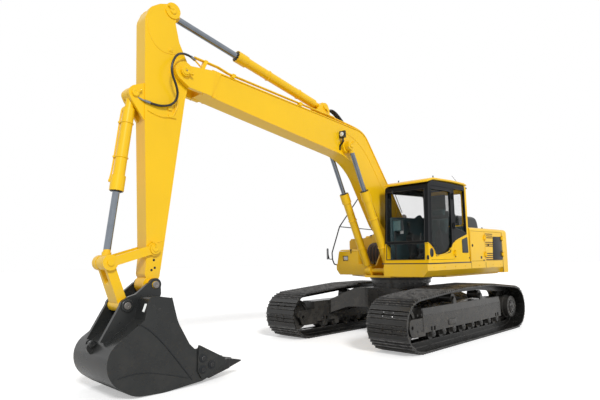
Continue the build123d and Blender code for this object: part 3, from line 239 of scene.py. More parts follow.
def two_tone(name, rows, stripe):
    """Cab paint: yellow under a line given by rows of (x, z) and behind stripe, black above."""
    back, span, foot, rise = -0.6, 1.8, 1.4, 2.0
    s = Shader(name)
    tone, dull = enamel(s, YELLOW, 0.15)
    x, _, z = s.split()
    along_line = (x - (SWING.x + back)) * (1 / span)
    table = [((a / 1000 - back) / span, (b / 1000 - foot) / rise) for a, b in sorted(rows)]
    line = s.add("ShaderNodeFloatCurve", {"rows": table}, Value=along_line) * rise + foot
    below = (line - z).step(-0.002, 0.002)
    rear = (SWING.x + stripe / 1000 - x).step(-0.002, 0.002)
    lit = below.most(rear)
    cloud = s.noise(3.0, 4.0)
    dark = s.blend(cloud, shade(BLACK, 0.8), shade(BLACK, 1.5, 0.002))
    fine = s.noise(150.0, 2.0)
    rough = lit * (dull + 0.24) + (1.0 - lit) * (cloud * 0.14 + 0.26) + fine * 0.05
    grain = s.bump(fine, 0.0005, 0.2)
    return s.finish(s.blend(lit, dark, tone), rough, normal=grain, **{"Specular IOR Level": 0.12})


def dark_paint(name, colour, gloss=0.34, wear_and_highlight=0.35, dust=0.3, rust=0.0, edge=0.006, shine=0.3):
    """Dark enamel on steel, rubbed lighter along its edges (on the track partly painted highlight), dusty low,
    rust in scratches.
    """
    s = Shader(name)
    cloud = s.noise(2.4, 5.0, 0.6)
    scuff = s.noise(9.0, 6.0, 0.7, stretch=(1.0, 1.0, 3.0)).step(0.58, 0.8)
    height = s.split()[2]
    settled = (1.0 - height.step(0.1, 1.5)) * s.noise(4.0, 6.0, 0.7).step(0.4, 0.8) * dust
    rub = s.edges(edge) * s.noise(14.0, 4.0).step(0.3, 0.6) * wear_and_highlight
    tone = s.blend(cloud, shade(colour, 0.75), shade(colour, 1.3))
    tone = s.blend(scuff * 0.2, tone, shade(colour, 2.4, 0.008))
    tone = s.blend(settled, tone, GREY_DUST)
    if rust:
        tone = s.blend(s.noise(22.0, 6.0, 0.75).step(0.62, 0.72) * rust, tone, RUST)
    tone = s.blend(rub, tone, BARE_STEEL)
    rough = cloud * 0.18 + scuff * 0.12 + settled * 0.35 + gloss - 0.09
    grain = s.bump(s.noise(90.0, 3.0), 0.0008, 0.3)
    return s.finish(tone, rough, rub * 0.8, grain, **{"Specular IOR Level": shine})


def rod_and_eye(name, eye, reach):
    """A chromed rod whose eye and collar, within reach of its pin, are painted."""
    s = Shader(name)
    x, _, z = s.split()
    pin = here(eye[0] / 1000, 0, eye[1] / 1000)
    away = ((x - pin.x) ** 2.0 + (z - pin.z) ** 2.0) ** 0.5
    bare = away.step(reach / 1000, reach / 1000 + 0.002)
    film = s.noise(8.0, 4.0, 0.6)
    tone, dull = enamel(s, YELLOW, 0.1)
    steel = s.blend(film, (0.17, 0.19, 0.22), CHROME)
    rough = bare * (film * 0.14 + 0.1) + (1.0 - bare) * (dull + 0.26)
    return s.finish(s.blend(bare, tone, steel), rough, bare, s.bump(s.noise(160.0, 2.0), 0.0004, 0.15))


def rubbed_steel(name, colour, rough=0.3):
    """Bare machined steel with fine turning marks and a film of grease."""
    s = Shader(name)
    film = s.noise(8.0, 4.0, 0.6)
    fine = s.noise(220.0, 2.0, stretch=(1.0, 1.0, 6.0))
    tone = s.blend(film, shade(colour, 0.7), colour)
    return s.finish(tone, film * 0.2 + fine * 0.08 + rough - 0.12, 1.0, s.bump(fine, 0.0003, 0.3))


def moulded(name, colour, rough=0.55, grain=260.0):
    """Grained plastic or rubber."""
    s = Shader(name)
    cloud = s.noise(7.0, 4.0)
    pebble = s.noise(grain, 2.0)
    tone = s.blend(cloud, shade(colour, 0.8), shade(colour, 1.25))
    return s.finish(tone, cloud * 0.15 + rough - 0.07, normal=s.bump(pebble, 0.0008, 0.35))


def woven(name, colour):
    """Seat cloth with a coarse weave and pilled, lighter wear."""
    s = Shader(name)
    x, y, z = s.split()
    wave = lambda v: (v * 900.0).math("SINE") * 0.5 + 0.5
    weave = wave(x + y) * wave(z + y * 0.5)
    tone = s.blend(weave, shade(colour, 0.55), shade(colour, 1.3))
    tone = s.blend(s.noise(9.0, 5.0, 0.6).step(0.5, 0.8) * 0.35, tone, shade(colour, 1.8))
    return s.finish(tone, weave * 0.1 + 0.82, normal=s.bump(weave, 0.001, 0.5), **{"Sheen Weight": 0.2})


def window_glass(name, colour, cover):
    """Tinted safety glass with a faint film of dust."""
    s = Shader(name)
    film = s.noise(3.0, 5.0, 0.6)
    s.feed(s.surface.inputs["Alpha"], film * 0.03 + cover)
    return s.finish(colour, film * 0.06 + 0.02, **{"Specular IOR Level": 0.35})


CAB_LINE = [(-600, 2070), (-501, 2040), (-128, 1944), (91, 1868), (191, 1768), (344, 1683), (545, 1643),
            (805, 1624), (850, 1698), (910, 1765), (1008, 1825), (1056, 1845), (1090, 1852)]
CAB_STRIPE = -505
FINISHES = {
    "yellow_paint": machine_paint("yellow_enamel", YELLOW),
    "cab_enamel": two_tone("cab_enamel", CAB_LINE, CAB_STRIPE),
    "black_paint": dark_paint("black_enamel", (0.010, 0.012, 0.014), gloss=0.3, wear_and_highlight=0.12, dust=0.05),
    "chassis_paint": dark_paint("chassis_enamel", (0.030, 0.029, 0.027), gloss=0.26, dust=0.3, shine=0.5),
    # The track's wide, strongly rubbed bright edges are partly wear and partly a painted highlight on the grouser
    # tips.
    "track_steel": dark_paint("track_steel", (0.007, 0.007, 0.0065), gloss=0.24, wear_and_highlight=0.9, dust=0.1,
                              rust=0.12, edge=0.016, shine=0.5),
    "bucket_paint": dark_paint("bucket_enamel", (0.019, 0.0205, 0.0205), gloss=0.27, wear_and_highlight=0.4, dust=0.1,
                               shine=0.4),
    "tooth_steel": dark_paint("tooth_steel", (0.022, 0.022, 0.023), gloss=0.3, wear_and_highlight=0.9, dust=0.12,
                              edge=0.01),
    "rod_chrome": rubbed_steel("hard_chrome", CHROME, 0.2),
    "boom_rod": rod_and_eye("boom_rod", BOOM_CYLINDER[1], 150),
    "arm_rod": rod_and_eye("arm_rod", ARM_CYLINDER[1], 165),
    "bucket_rod": rod_and_eye("bucket_rod", BUCKET_CYLINDER[1], 165),
    # Dark orange-brown louvres: painted shade of yellow slats and of the dark opening behind them.
    "louvre": moulded("louvre_painted_shade", (0.075, 0.030, 0.006), 0.6, 90.0),
    "pin_steel": rubbed_steel("pin_steel", (0.30, 0.28, 0.26), 0.42),
    "glass": window_glass("window_glass", (0.012, 0.022, 0.020), 0.045),
    # The door glass is darker and more opaque than the other panes: painted shade of the cab's dark inside.
    "door_glass": window_glass("door_glass", (0.004, 0.008, 0.007), 0.34),
    "seat_fabric": woven("seat_cloth", (0.030, 0.085, 0.088)),
    "cab_plastic": moulded("cab_moulding", (0.03, 0.034, 0.036)),
    "lining": moulded("cab_lining", (0.016, 0.040, 0.046), 0.62),
    "headliner": moulded("headliner", (0.17, 0.12, 0.035), 0.8, 400.0),
    "screen": moulded("screen", (0.11, 0.20, 0.21), 0.25, 30.0),
    "label": moulded("blank_label", (0.75, 0.77, 0.76), 0.5, 60.0),
    "engine_iron": dark_paint("engine_iron", (0.16, 0.15, 0.13), dust=0.1),
    "exhaust_steel": dark_paint("exhaust_steel", (0.09, 0.075, 0.065), gloss=0.5, dust=0.1, rust=0.6),
    "rubber": moulded("rubber", (0.010, 0.010, 0.011), 0.36, 400.0),
    "brown_hose": moulded("sleeved_hose", (0.10, 0.055, 0.028), 0.5, 500.0),
    "lamp_glass": window_glass("lamp_lens", (0.75, 0.78, 0.8), 0.85),
    "red_lens": window_glass("tail_lens", (0.42, 0.012, 0.01), 0.95),
}
dict.fromkeys(("door_glass", "screen", "lamp_glass", "red_lens"), "glass")
MOULDED = ("louvre", "lining", "headliner", "label", "rubber", "brown_hose")
dict.fromkeys(MOULDED, "cab_plastic")
SLOTS = {entry["node"]: entry["material_slot"] for entry in frame["record"]["subparts"]}
SPECIAL = {"cab": "cab_enamel", "cab_door": "cab_enamel", "cab_door_glass": "door_glass",
           "boom_rods": "boom_rod", "arm_rod": "arm_rod", "bucket_rod": "bucket_rod"}
for name, loaded in NODES.items():
    loaded.data.materials.clear()
    loaded.data.materials.append(FINISHES[SPECIAL.get(name, SLOTS[name])])


# ---- Bench work -------------------------------------------------------------------------------
SMOOTH_UNDER, ROUND_OVER = math.radians(32), math.radians(40)


def pick(kind, test=lambda place, normal: True):
    """In edit mode, selects the edges or faces that pass a test by their middle and direction."""
    mesh = bpy.context.object.data
    bpy.ops.object.mode_set(mode="EDIT")
    bpy.ops.mesh.select_mode(type=kind)
    bpy.ops.mesh.select_all(action="DESELECT")
    bpy.ops.object.mode_set(mode="OBJECT")
    if kind == "FACE":
        for face in mesh.polygons:
            face.select = test(face.center, face.normal)
    else:
        for edge in mesh.edges:
            a, b = (mesh.vertices[i].co for i in edge.vertices)
            edge.select = test((a + b) / 2, (b - a).normalized())
    bpy.ops.object.mode_set(mode="EDIT")


def done():
    """Leaves edit mode with every face turned outwards."""
    bpy.ops.mesh.select_all(action="SELECT")
    bpy.ops.mesh.normals_make_consistent(inside=False)
    bpy.ops.object.mode_set(mode="OBJECT")
    return bpy.context.object


def block(low, high, bevel=6.0, segments=2):
    """A rounded block between two corners, in millimetres."""
    size = [b - a for a, b in zip(low, high)]
    middle = [(a + b) / 2 for a, b in zip(low, high)]
    bpy.ops.mesh.primitive_cube_add(size=1, location=middle, scale=size)
    bpy.ops.object.transform_apply(location=True, rotation=True, scale=True)
    pick("EDGE")
    bpy.ops.mesh.bevel(offset=min(bevel, min(size) * 0.45), segments=segments, affect="EDGES")
    return done()


def plate(points, axis, low, high, rim=0.0, corner=0.0):
    """A flat outline of corners, extruded along axis from low to high and rounded at its rim."""
    i = "XYZ".index(axis)
    bpy.ops.mesh.primitive_circle_add(vertices=len(points), radius=1, fill_type="NGON")
    piece = bpy.context.object
    for vertex, point in zip(piece.data.vertices, points):
        vertex.co = (*point[:i], low, *point[i:])
    bpy.ops.object.mode_set(mode="EDIT")
    bpy.ops.mesh.select_all(action="SELECT")
    if corner:
        bpy.ops.mesh.bevel(offset=corner, segments=4, affect="VERTICES")
        bpy.ops.mesh.select_all(action="SELECT")
    shift = [(high - low) * (axis == a) for a in "XYZ"]
    bpy.ops.mesh.extrude_region_move(TRANSFORM_OT_translate={"value": shift})
    done()
    if rim:
        pick("FACE", lambda place, normal: abs(normal[i]) > 0.9 and abs(place[i] - high) < 0.01)
        bpy.ops.mesh.inset(thickness=rim)
        bpy.ops.transform.translate(value=[rim * (axis == a) for a in "XYZ"])
        done()
    return piece


def turned(rows, sides=24):
    """A turned part about +Z from rows of (radius, height); the last row is closed."""
    bpy.ops.mesh.primitive_circle_add(vertices=sides, radius=rows[0][0], fill_type="NGON",
                                      location=(0, 0, rows[0][1]))
    bpy.ops.object.transform_apply(location=True, rotation=True, scale=True)
    bpy.ops.object.mode_set(mode="EDIT")
    bpy.ops.mesh.select_all(action="SELECT")
    for (r0, z0), (r1, z1) in zip(rows, rows[1:]):
        bpy.ops.mesh.extrude_region_move(TRANSFORM_OT_translate={"value": (0, 0, z1 - z0)})
        bpy.ops.transform.resize(value=(r1 / r0, r1 / r0, 1), center_override=(0, 0, z1))
    return done()


def tube(points, radius, smooth=True, sides=2):
    """A pipe or hose along points: a smooth NURBS line, or straight runs."""
    curve = bpy.data.curves.new("run", "CURVE")
    curve.dimensions, curve.use_fill_caps = "3D", True
    curve.bevel_depth, curve.bevel_resolution = radius, sides
    line = curve.splines.new("NURBS" if smooth else "POLY")
    line.points.add(len(points) - 1)
    for point, place in zip(line.points, points):
        point.co = (*place, 1)
    if smooth:
        line.order_u, line.use_endpoint_u, line.resolution_u = 4 if len(points) > 3 else 3, True, 6
    piece = bpy.data.objects.new("run", curve)
    bpy.context.collection.objects.link(piece)
    bpy.ops.object.select_all(action="DESELECT")
    bpy.context.view_layer.objects.active = piece
    piece.select_set(True)
    bpy.ops.object.convert(target="MESH")
    return bpy.context.object


def loop(points, radius):
    """A closed frame of straight runs."""
    return tube(list(points) + [points[0]], radius, smooth=False, sides=1)


def weld(points, radius=5.0):
    return tube(points, radius, sides=1)


def at_y(y, *rows):
    """Points of (x, z) in the upright plane at y."""
    return [(x, y, z) for x, z in rows]


def oblong(left, low, right, high):
    return [(left, low), (right, low), (right, high), (left, high)]


def circle(radius, count):
    """Points of (u, v) round a circle."""
    turns = [2 * math.pi * i / count for i in range(count)]
    return [(radius * math.cos(a), radius * math.sin(a)) for a in turns]


def at(x, y, z):
    return Matrix.Translation((x, y, z))


def outward(x, y, z):
    """A point on the machine's side and the direction away from its middle."""
    return (x, y, z), (0, math.copysign(1, y), 0)


def flank(x, y, z, side=None):
    """Where a part drawn along +Z goes to stand out of the machine's side, turned about X alone."""
    return at(x, y, z) @ Matrix.Rotation(-math.copysign(math.pi / 2, side or y), 4, "X")


def toward(point, direction):
    """Where a part drawn along +Z goes to stand at point along direction."""
    return Matrix.Translation(point) @ Vector(direction).to_track_quat("Z", "Y").to_matrix().to_4x4()


def repeat(piece, spots):
    """Copies a part to each spot, each copy with its own mesh, joins them and removes the first."""
    copies = []
    for spot in spots:
        copy = piece.copy()
        copy.data = piece.data.copy()
        copy.data.transform(spot)
        bpy.context.collection.objects.link(copy)
        copies.append(copy)
    bpy.data.objects.remove(piece)
    return joined(*copies)


def joined(*pieces):
    bpy.ops.object.select_all(action="DESELECT")
    for piece in pieces:
        piece.select_set(True)
    bpy.context.view_layer.objects.active = pieces[0]
    if len(pieces) > 1:
        bpy.ops.object.join()
    return bpy.context.object


def fit(name, piece, finish, body="upper", bevel=0.0, drawn=GROUND):
    """Rounds the part, lays it into the machine, paints it and lets it ride on its body."""
    bpy.ops.object.select_all(action="DESELECT")
    bpy.context.view_layer.objects.active = piece
    piece.select_set(True)
    if bevel:
        rounding = piece.modifiers.new("rounding", "BEVEL")
        rounding.width, rounding.segments = bevel, 2
        rounding.limit_method, rounding.angle_limit = "ANGLE", ROUND_OVER
        bpy.ops.object.modifier_apply(modifier="rounding")
    piece.matrix_world = drawn
    bpy.ops.object.transform_apply(location=True, rotation=True, scale=True)
    bpy.ops.object.shade_smooth_by_angle(angle=SMOOTH_UNDER)
    piece.name = piece.data.name = name
    piece.data.materials.clear()
    piece.data.materials.append(FINISHES[finish])
    if body:
        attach(piece, body)
    piece.select_set(False)
    return piece


def bolt_head(size, height):
    """A hexagon head with a chamfered crown on its washer."""
    washer = turned([(size * 0.72, 0), (size * 0.72, height * 0.2)], 8)
    head = turned([(size * 0.5, height * 0.2), (size * 0.5, height * 0.85), (size * 0.4, height)], 6)
    return joined(head, washer)


def bolts(name, finish, body, spots, size, height, drawn=GROUND):
    """Bolts at spots of (point, direction)."""
    heads = repeat(bolt_head(size, height), [toward(*spot) for spot in spots])
    return fit(name, heads, finish, body, drawn=drawn)


# ---- Cab --------------------------------------------------------------------------------------
SIDE, SKIN = 1342.0, 1344
FORWARD, UPWARD = (1, 0, 0), (0, 0, 1)
SEATS_Y = (500, 1180)


def cab_front(z, out=2.0):
    """How far forward the cab's leaning front is at height z."""
    return 1090 - 0.0687 * (z - 1462) + out


def cab_shell():
    """Roof skin, seals, colour beads, vent, window rubbers and what stands on the roof."""
    roof = plate([(1004, 3020), (1004, 3052), (955, 3086), (780, 3126), (60, 3146), (-470, 3138),
                  (-588, 3112), (-598, 3078), (-470, 3096), (60, 3106), (780, 3086), (950, 3040)],
                 "Y", 348, 1358)
    fit("cab_roof_skin", roof, "yellow_paint", bevel=12)
    hatch = plate(oblong(-340, 470, 430, 1200), "Z", 3120, 3160, rim=26, corner=70)
    fit("roof_hatch", hatch, "black_paint", bevel=3)
    lined = plate(oblong(-520, 420, 900, 1285), "Z", 3056, 3030, rim=30, corner=50)
    fit("headliner", lined, "headliner", bevel=4)
    seal = joined(block((-640, 1334, 1459), (1094, 1347, 1481), 3),
                  block((1080, 296, 1459), (1096, 1347, 1481), 3))
    fit("cab_floor_seal", seal, "rubber")
    rear = at_y(SKIN, (40, 1892), (-60, 1928), (-128, 1949), (-300, 1992), (-501, 2044))
    body_bead = joined(tube([(1088, 1340, 1866), (1066, 1346, 1856), (1014, 1346, 1831)], 8), tube(rear, 8),
                       tube([(1066, 404, 1856), (1064, 368, 1856)], 7),
                       tube([(1066, 1268, 1856), (1064, 1340, 1858)], 7))
    fit("cab_colour_bead", body_bead, "yellow_paint")
    bead = at_y(SKIN, (1002, 1824), (960, 1798), (905, 1764), (855, 1712), (828, 1640), (790, 1621),
                (680, 1624), (545, 1640), (440, 1656), (344, 1680), (255, 1722), (191, 1766), (145, 1820),
                (86, 1868))
    fit("door_colour_bead", tube(bead, 8), "yellow_paint", "cab_door")
    oval = [(957 + 66 * u, 1675 + 86 * v) for u, v in circle(1, 20)]
    fit("door_grip_cup", plate(oval, "Y", 1340, 1345, rim=6), "cab_plastic", "cab_door", bevel=1.5)
    grip = [(957, SIDE + 1 + out, 1675 + up) for out, up in ((0, -63), (23, -49), (29, 0), (23, 49), (0, 63))]
    fit("door_grip", tube(grip, 9), "rubber", "cab_door")

    vent = plate([(-266, 1939), (-495, 1994), (-517, 1666), (-264, 1667)], "Y", 1341, 1348, rim=8, corner=14)
    slat = plate([(1352, 0), (1347, 16), (1345, 16), (1348, 0)], "X", -492, -284)
    vent = joined(vent, repeat(slat, [at(0, 0, 1690 + 27 * i) for i in range(9)]))
    fit("cab_side_vent", vent, "cab_plastic", bevel=1)

    front_panes = [loop([(cab_front(z), y, z) for y, z in oblong(410, low, 1265, high)], 9)
                   for low, high in ((1900, 2900), (1550, 1850))]
    panes = [loop([(-577, y, z) for y, z in oblong(430, 2250, 1240, 2930)], 9),
             loop(at_y(SIDE + 1, (-10, 2180), (-10, 2980), (-480, 2980), (-480, 2080)), 8),
             loop(at_y(371, (-480, 2050), (880, 1950), (830, 2900), (-480, 2940)), 7)]
    fit("window_rubbers", joined(*front_panes, *panes), "rubber")
    door_pane = at_y(SIDE + 1, (130, 2250), (150, 1850), (240, 1680), (790, 1610), (900, 1800), (945, 1880),
                     (880, 2905), (130, 2905))
    fit("door_glass_rubber", loop(door_pane, 8), "rubber", "cab_door")
    fit("cab_lower_hinge", block((1066, 1318, 1547), (1099, 1350, 1626), 5), "black_paint")
    screws = [outward(30, SIDE, 1594), outward(-560, SIDE, 1562)]
    bolts("cab_side_screws", "black_paint", "upper", screws, 24, 8)

    glass = lambda y, z, out: (cab_front(z, out), y, z)
    pivot = turned([(26, 0), (26, 10), (18, 22), (15, 30)])
    pivot = repeat(pivot, [toward(glass(548, 2905, 0), (1, 0, 0.07))])
    wiper_arm = tube([glass(548, 2905, 26), glass(600, 2800, 32), glass(705, 2560, 20)], 7)
    blade = block((0, -7, -5), (6, 7, 400), 2)
    blade = repeat(blade, [toward(glass(612, 2850, 10), (-0.07 * 380, 130, -380))])
    fit("wiper", joined(pivot, wiper_arm, blade), "rubber")
    stem = turned([(20, 0), (20, 14), (11, 18), (11, 40), (15, 46), (8, 54)], 16)
    eyes = [toward((x, y, 3138), UPWARD) for x, y in ((607, 1250), (607, 450), (-400, 450))]
    fit("roof_eye", repeat(stem, eyes), "black_paint")
    whip = joined(repeat(turned([(22, 0), (22, 20), (9, 34)]), [toward((-510, 1200, 3134), UPWARD)]),
                  tube(at_y(1200, (-510, 3150), (-420, 3214), (-267, 3288)), 4))
    fit("antenna", whip, "rubber")
    knob = turned([(22, 0), (22, 8), (10, 14), (10, 40), (20, 46), (20, 62), (12, 68)])
    fit("door_hold_knob", repeat(knob, [toward((-574, 1316, 3042), (-1, 0, 0))]), "rubber")


def cab_inside():
    """The lining, its tall front part a dark panel of painted shade, floor mat, pedals, monitor and boots of the
    levers.
    """
    # The right lining's front part, raised to about 2.4 m, is a dark panel of painted shade for the boom lying in
    # the cab's shadow beyond the window.
    lining = plate([(-520, 1520), (955, 1520), (925, 2405), (500, 2425), (0, 2430), (-130, 2496),
                    (-235, 2516), (-300, 2450), (-520, 2440)], "Y", 409, 427, rim=16, corner=30)
    fit("right_lining_with_painted_shade", lining, "lining", bevel=3)
    rear = plate(oblong(430, 1520, 1285, 2230), "X", -528, -510, rim=18, corner=40)
    fit("rear_lining", rear, "lining", bevel=3)
    # A dark sheet behind the rear window is painted shade of the cab's dark inside, seen through the door glass.
    painted_shade_sheet = plate(oblong(428, 2236, 885, 2945), "X", -522, -512, rim=12, corner=24)
    fit("rear_window_painted_shade", painted_shade_sheet, "cab_plastic", bevel=2)
    ribs = repeat(block((-140, -5, 1516), (1010, 5, 1526), 2, 1), [at(0, 446 + 28 * i, 0) for i in range(30)])
    fit("floor_mat", joined(block((-150, 425, 1509), (1020, 1280, 1518), 3), ribs), "rubber")
    pedal = plate([(606, 1664), (622, 1676), (778, 1572), (766, 1556)], "Y", -48, 48)
    spots = [at(628 + 22 * i, 0, 1668 - 14.7 * i) for i in range(6)]
    grooves = repeat(block((0, -44, 0), (8, 44, 5), 1, 1), spots)
    pedals = repeat(joined(pedal, grooves), [at(0, y, 0) for y in (750, 930)])
    fit("travel_pedals", pedals, "rubber", bevel=2)
    boot = turned([(52, 0), (52, 8), (40, 14), (46, 24), (34, 30), (40, 40), (28, 46), (33, 56), (20, 62)])
    fit("lever_boots", repeat(boot, [toward((342, y, 2062), (0.15, 0, 1)) for y in SEATS_Y]), "rubber")
    knob = turned([(20, 0), (30, 20), (33, 60), (30, 95), (22, 112), (12, 118)])
    fit("lever_knobs", repeat(knob, [toward((354, y, 2205), (0.14, 0, 1)) for y in SEATS_Y]), "rubber")
    fit("monitor_shell", block((838, 414, 2118), (862, 626, 2346), 14, 3), "lining")
    fit("monitor_back", plate(oblong(428, 2134, 612, 2330), "X", 861, 865, corner=20), "screen")
    fit("monitor_screen", plate(oblong(432, 2150, 608, 2318), "X", 770, 764, rim=8, corner=12), "screen")
    holder = joined(block((702, 425, 2066), (712, 592, 2256), 3),
                    block((702, 425, 2040), (722, 470, 2100), 4))
    fit("card_holder", holder, "cab_plastic")
    fit("blank_card", plate(oblong(506, 2072, 584, 2250), "X", 712, 715, corner=8), "label")
    buttons = [at(x, y, 2026) for x in range(-180, 61, 40) for y in (470, 510)]
    fit("console_buttons", repeat(block((-11, -11, 0), (11, 11, 7), 3), buttons), "cab_plastic")


CHANNEL_WIDTH, CLOTH_STEPS, PRESSURE = 0.009, 20, 4.0


def channel(piece, axis, places, depth):
    """Draws sewn lines into a pad: pulls its cloth in along its normals near each place."""
    for corner in piece.data.vertices:
        near = min(abs(corner.co[axis] - place) for place in places)
        corner.co -= corner.normal * depth * math.exp(-((near / CHANNEL_WIDTH) ** 2))


def stuffed(name, piece, cap, lines):
    """Lets the cloth of a sewn pad swell over its filling, then sews its channels."""
    fit(name, piece, "seat_fabric")
    bpy.context.view_layer.objects.active = piece
    piece.select_set(True)
    mesher = piece.modifiers.new("voxels", "REMESH")
    mesher.mode, mesher.voxel_size = "VOXEL", 0.008
    bpy.ops.object.modifier_apply(modifier="voxels")
    before = [corner.co.copy() for corner in piece.data.vertices]
    cloth = piece.modifiers.new("cloth", "CLOTH")
    cloth.settings.quality = 4
    cloth.settings.use_pressure = True
    cloth.settings.uniform_pressure_force = PRESSURE
    cloth.settings.effector_weights.gravity = 0.0
    cloth.point_cache.frame_start, cloth.point_cache.frame_end = 1, CLOTH_STEPS
    for step in range(1, CLOTH_STEPS + 1):
        bpy.context.scene.frame_set(step)
    bpy.ops.object.modifier_apply(modifier="cloth")
    for corner, old in zip(piece.data.vertices, before):
        moved = corner.co - old
        if moved.length > cap:
            corner.co = old + moved.normalized() * cap
    bpy.context.scene.frame_set(1)
    for axis, places, depth in lines:
        channel(piece, axis, places, depth)
    smooth = piece.modifiers.new("smooth", "SUBSURF")
    smooth.levels = smooth.render_levels = 1
    bpy.ops.object.modifier_apply(modifier="smooth")
    bpy.ops.object.shade_smooth()
    piece.select_set(False)
    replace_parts(piece, "seat")


def operator_seat():
    """Three stuffed pads on their pan, bellows and back shell."""
    seat = [(-205, 1778), (320, 1778), (338, 1830), (300, 1866), (-150, 1846), (-205, 1830)]
    seams = [(1, (0.69, 0.99), 0.010), (0, (SWING.x + 0.02,), 0.008)]
    stuffed("seat_cushion", plate(seat, "Y", 616, 1064, corner=18), 0.022, seams)
    back = [(-212, 1800), (-120, 1800), (-196, 2300), (-262, 2420), (-318, 2420), (-322, 2300)]
    seams = [(1, (0.70, 0.98), 0.010), (2, (2.12,), 0.008)]
    stuffed("seat_back", plate(back, "Y", 626, 1054, corner=18), 0.022, seams)
    rest = plate([(-290, 2470), (-236, 2470), (-262, 2604), (-330, 2604)], "Y", 700, 980, corner=14)
    stuffed("seat_headrest", rest, 0.018, [(1, (0.84,), 0.004)])
    pan = [block((-150, 640, 1512), (300, 1040, 1600), 14),
           block((-120, 670, 1600), (270, 1010, 1700), 30, 3),
           block((-205, 620, 1700), (310, 1060, 1768), 20, 3)]
    stalks = [tube([(-262, y, 2400), (-276, y, 2480)], 8, smooth=False) for y in (770, 910)]
    folds = repeat(block((-126, 664, -6), (276, 1016, 6), 5), [at(0, 0, 1614 + 20 * i) for i in range(5)])
    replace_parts(fit("seat_base", joined(*pan, *stalks, folds), "cab_plastic"), "seat")
    shell = [(-228, 1740), (-208, 1740), (-300, 2420), (-336, 2560), (-348, 2560), (-332, 2300)]
    shell = plate(shell, "Y", 640, 1040, corner=6)
    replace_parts(fit("seat_shell", shell, "cab_plastic", bevel=6), "seat")


# ---- Upper structure ----------------------------------------------------------------------------
WEIGHT_RADIUS, LAMP_TURN = 2898, 0.33
HOSE_COUNT, HOSE_PITCH, FIRST_HOSE = 8, 42, -215


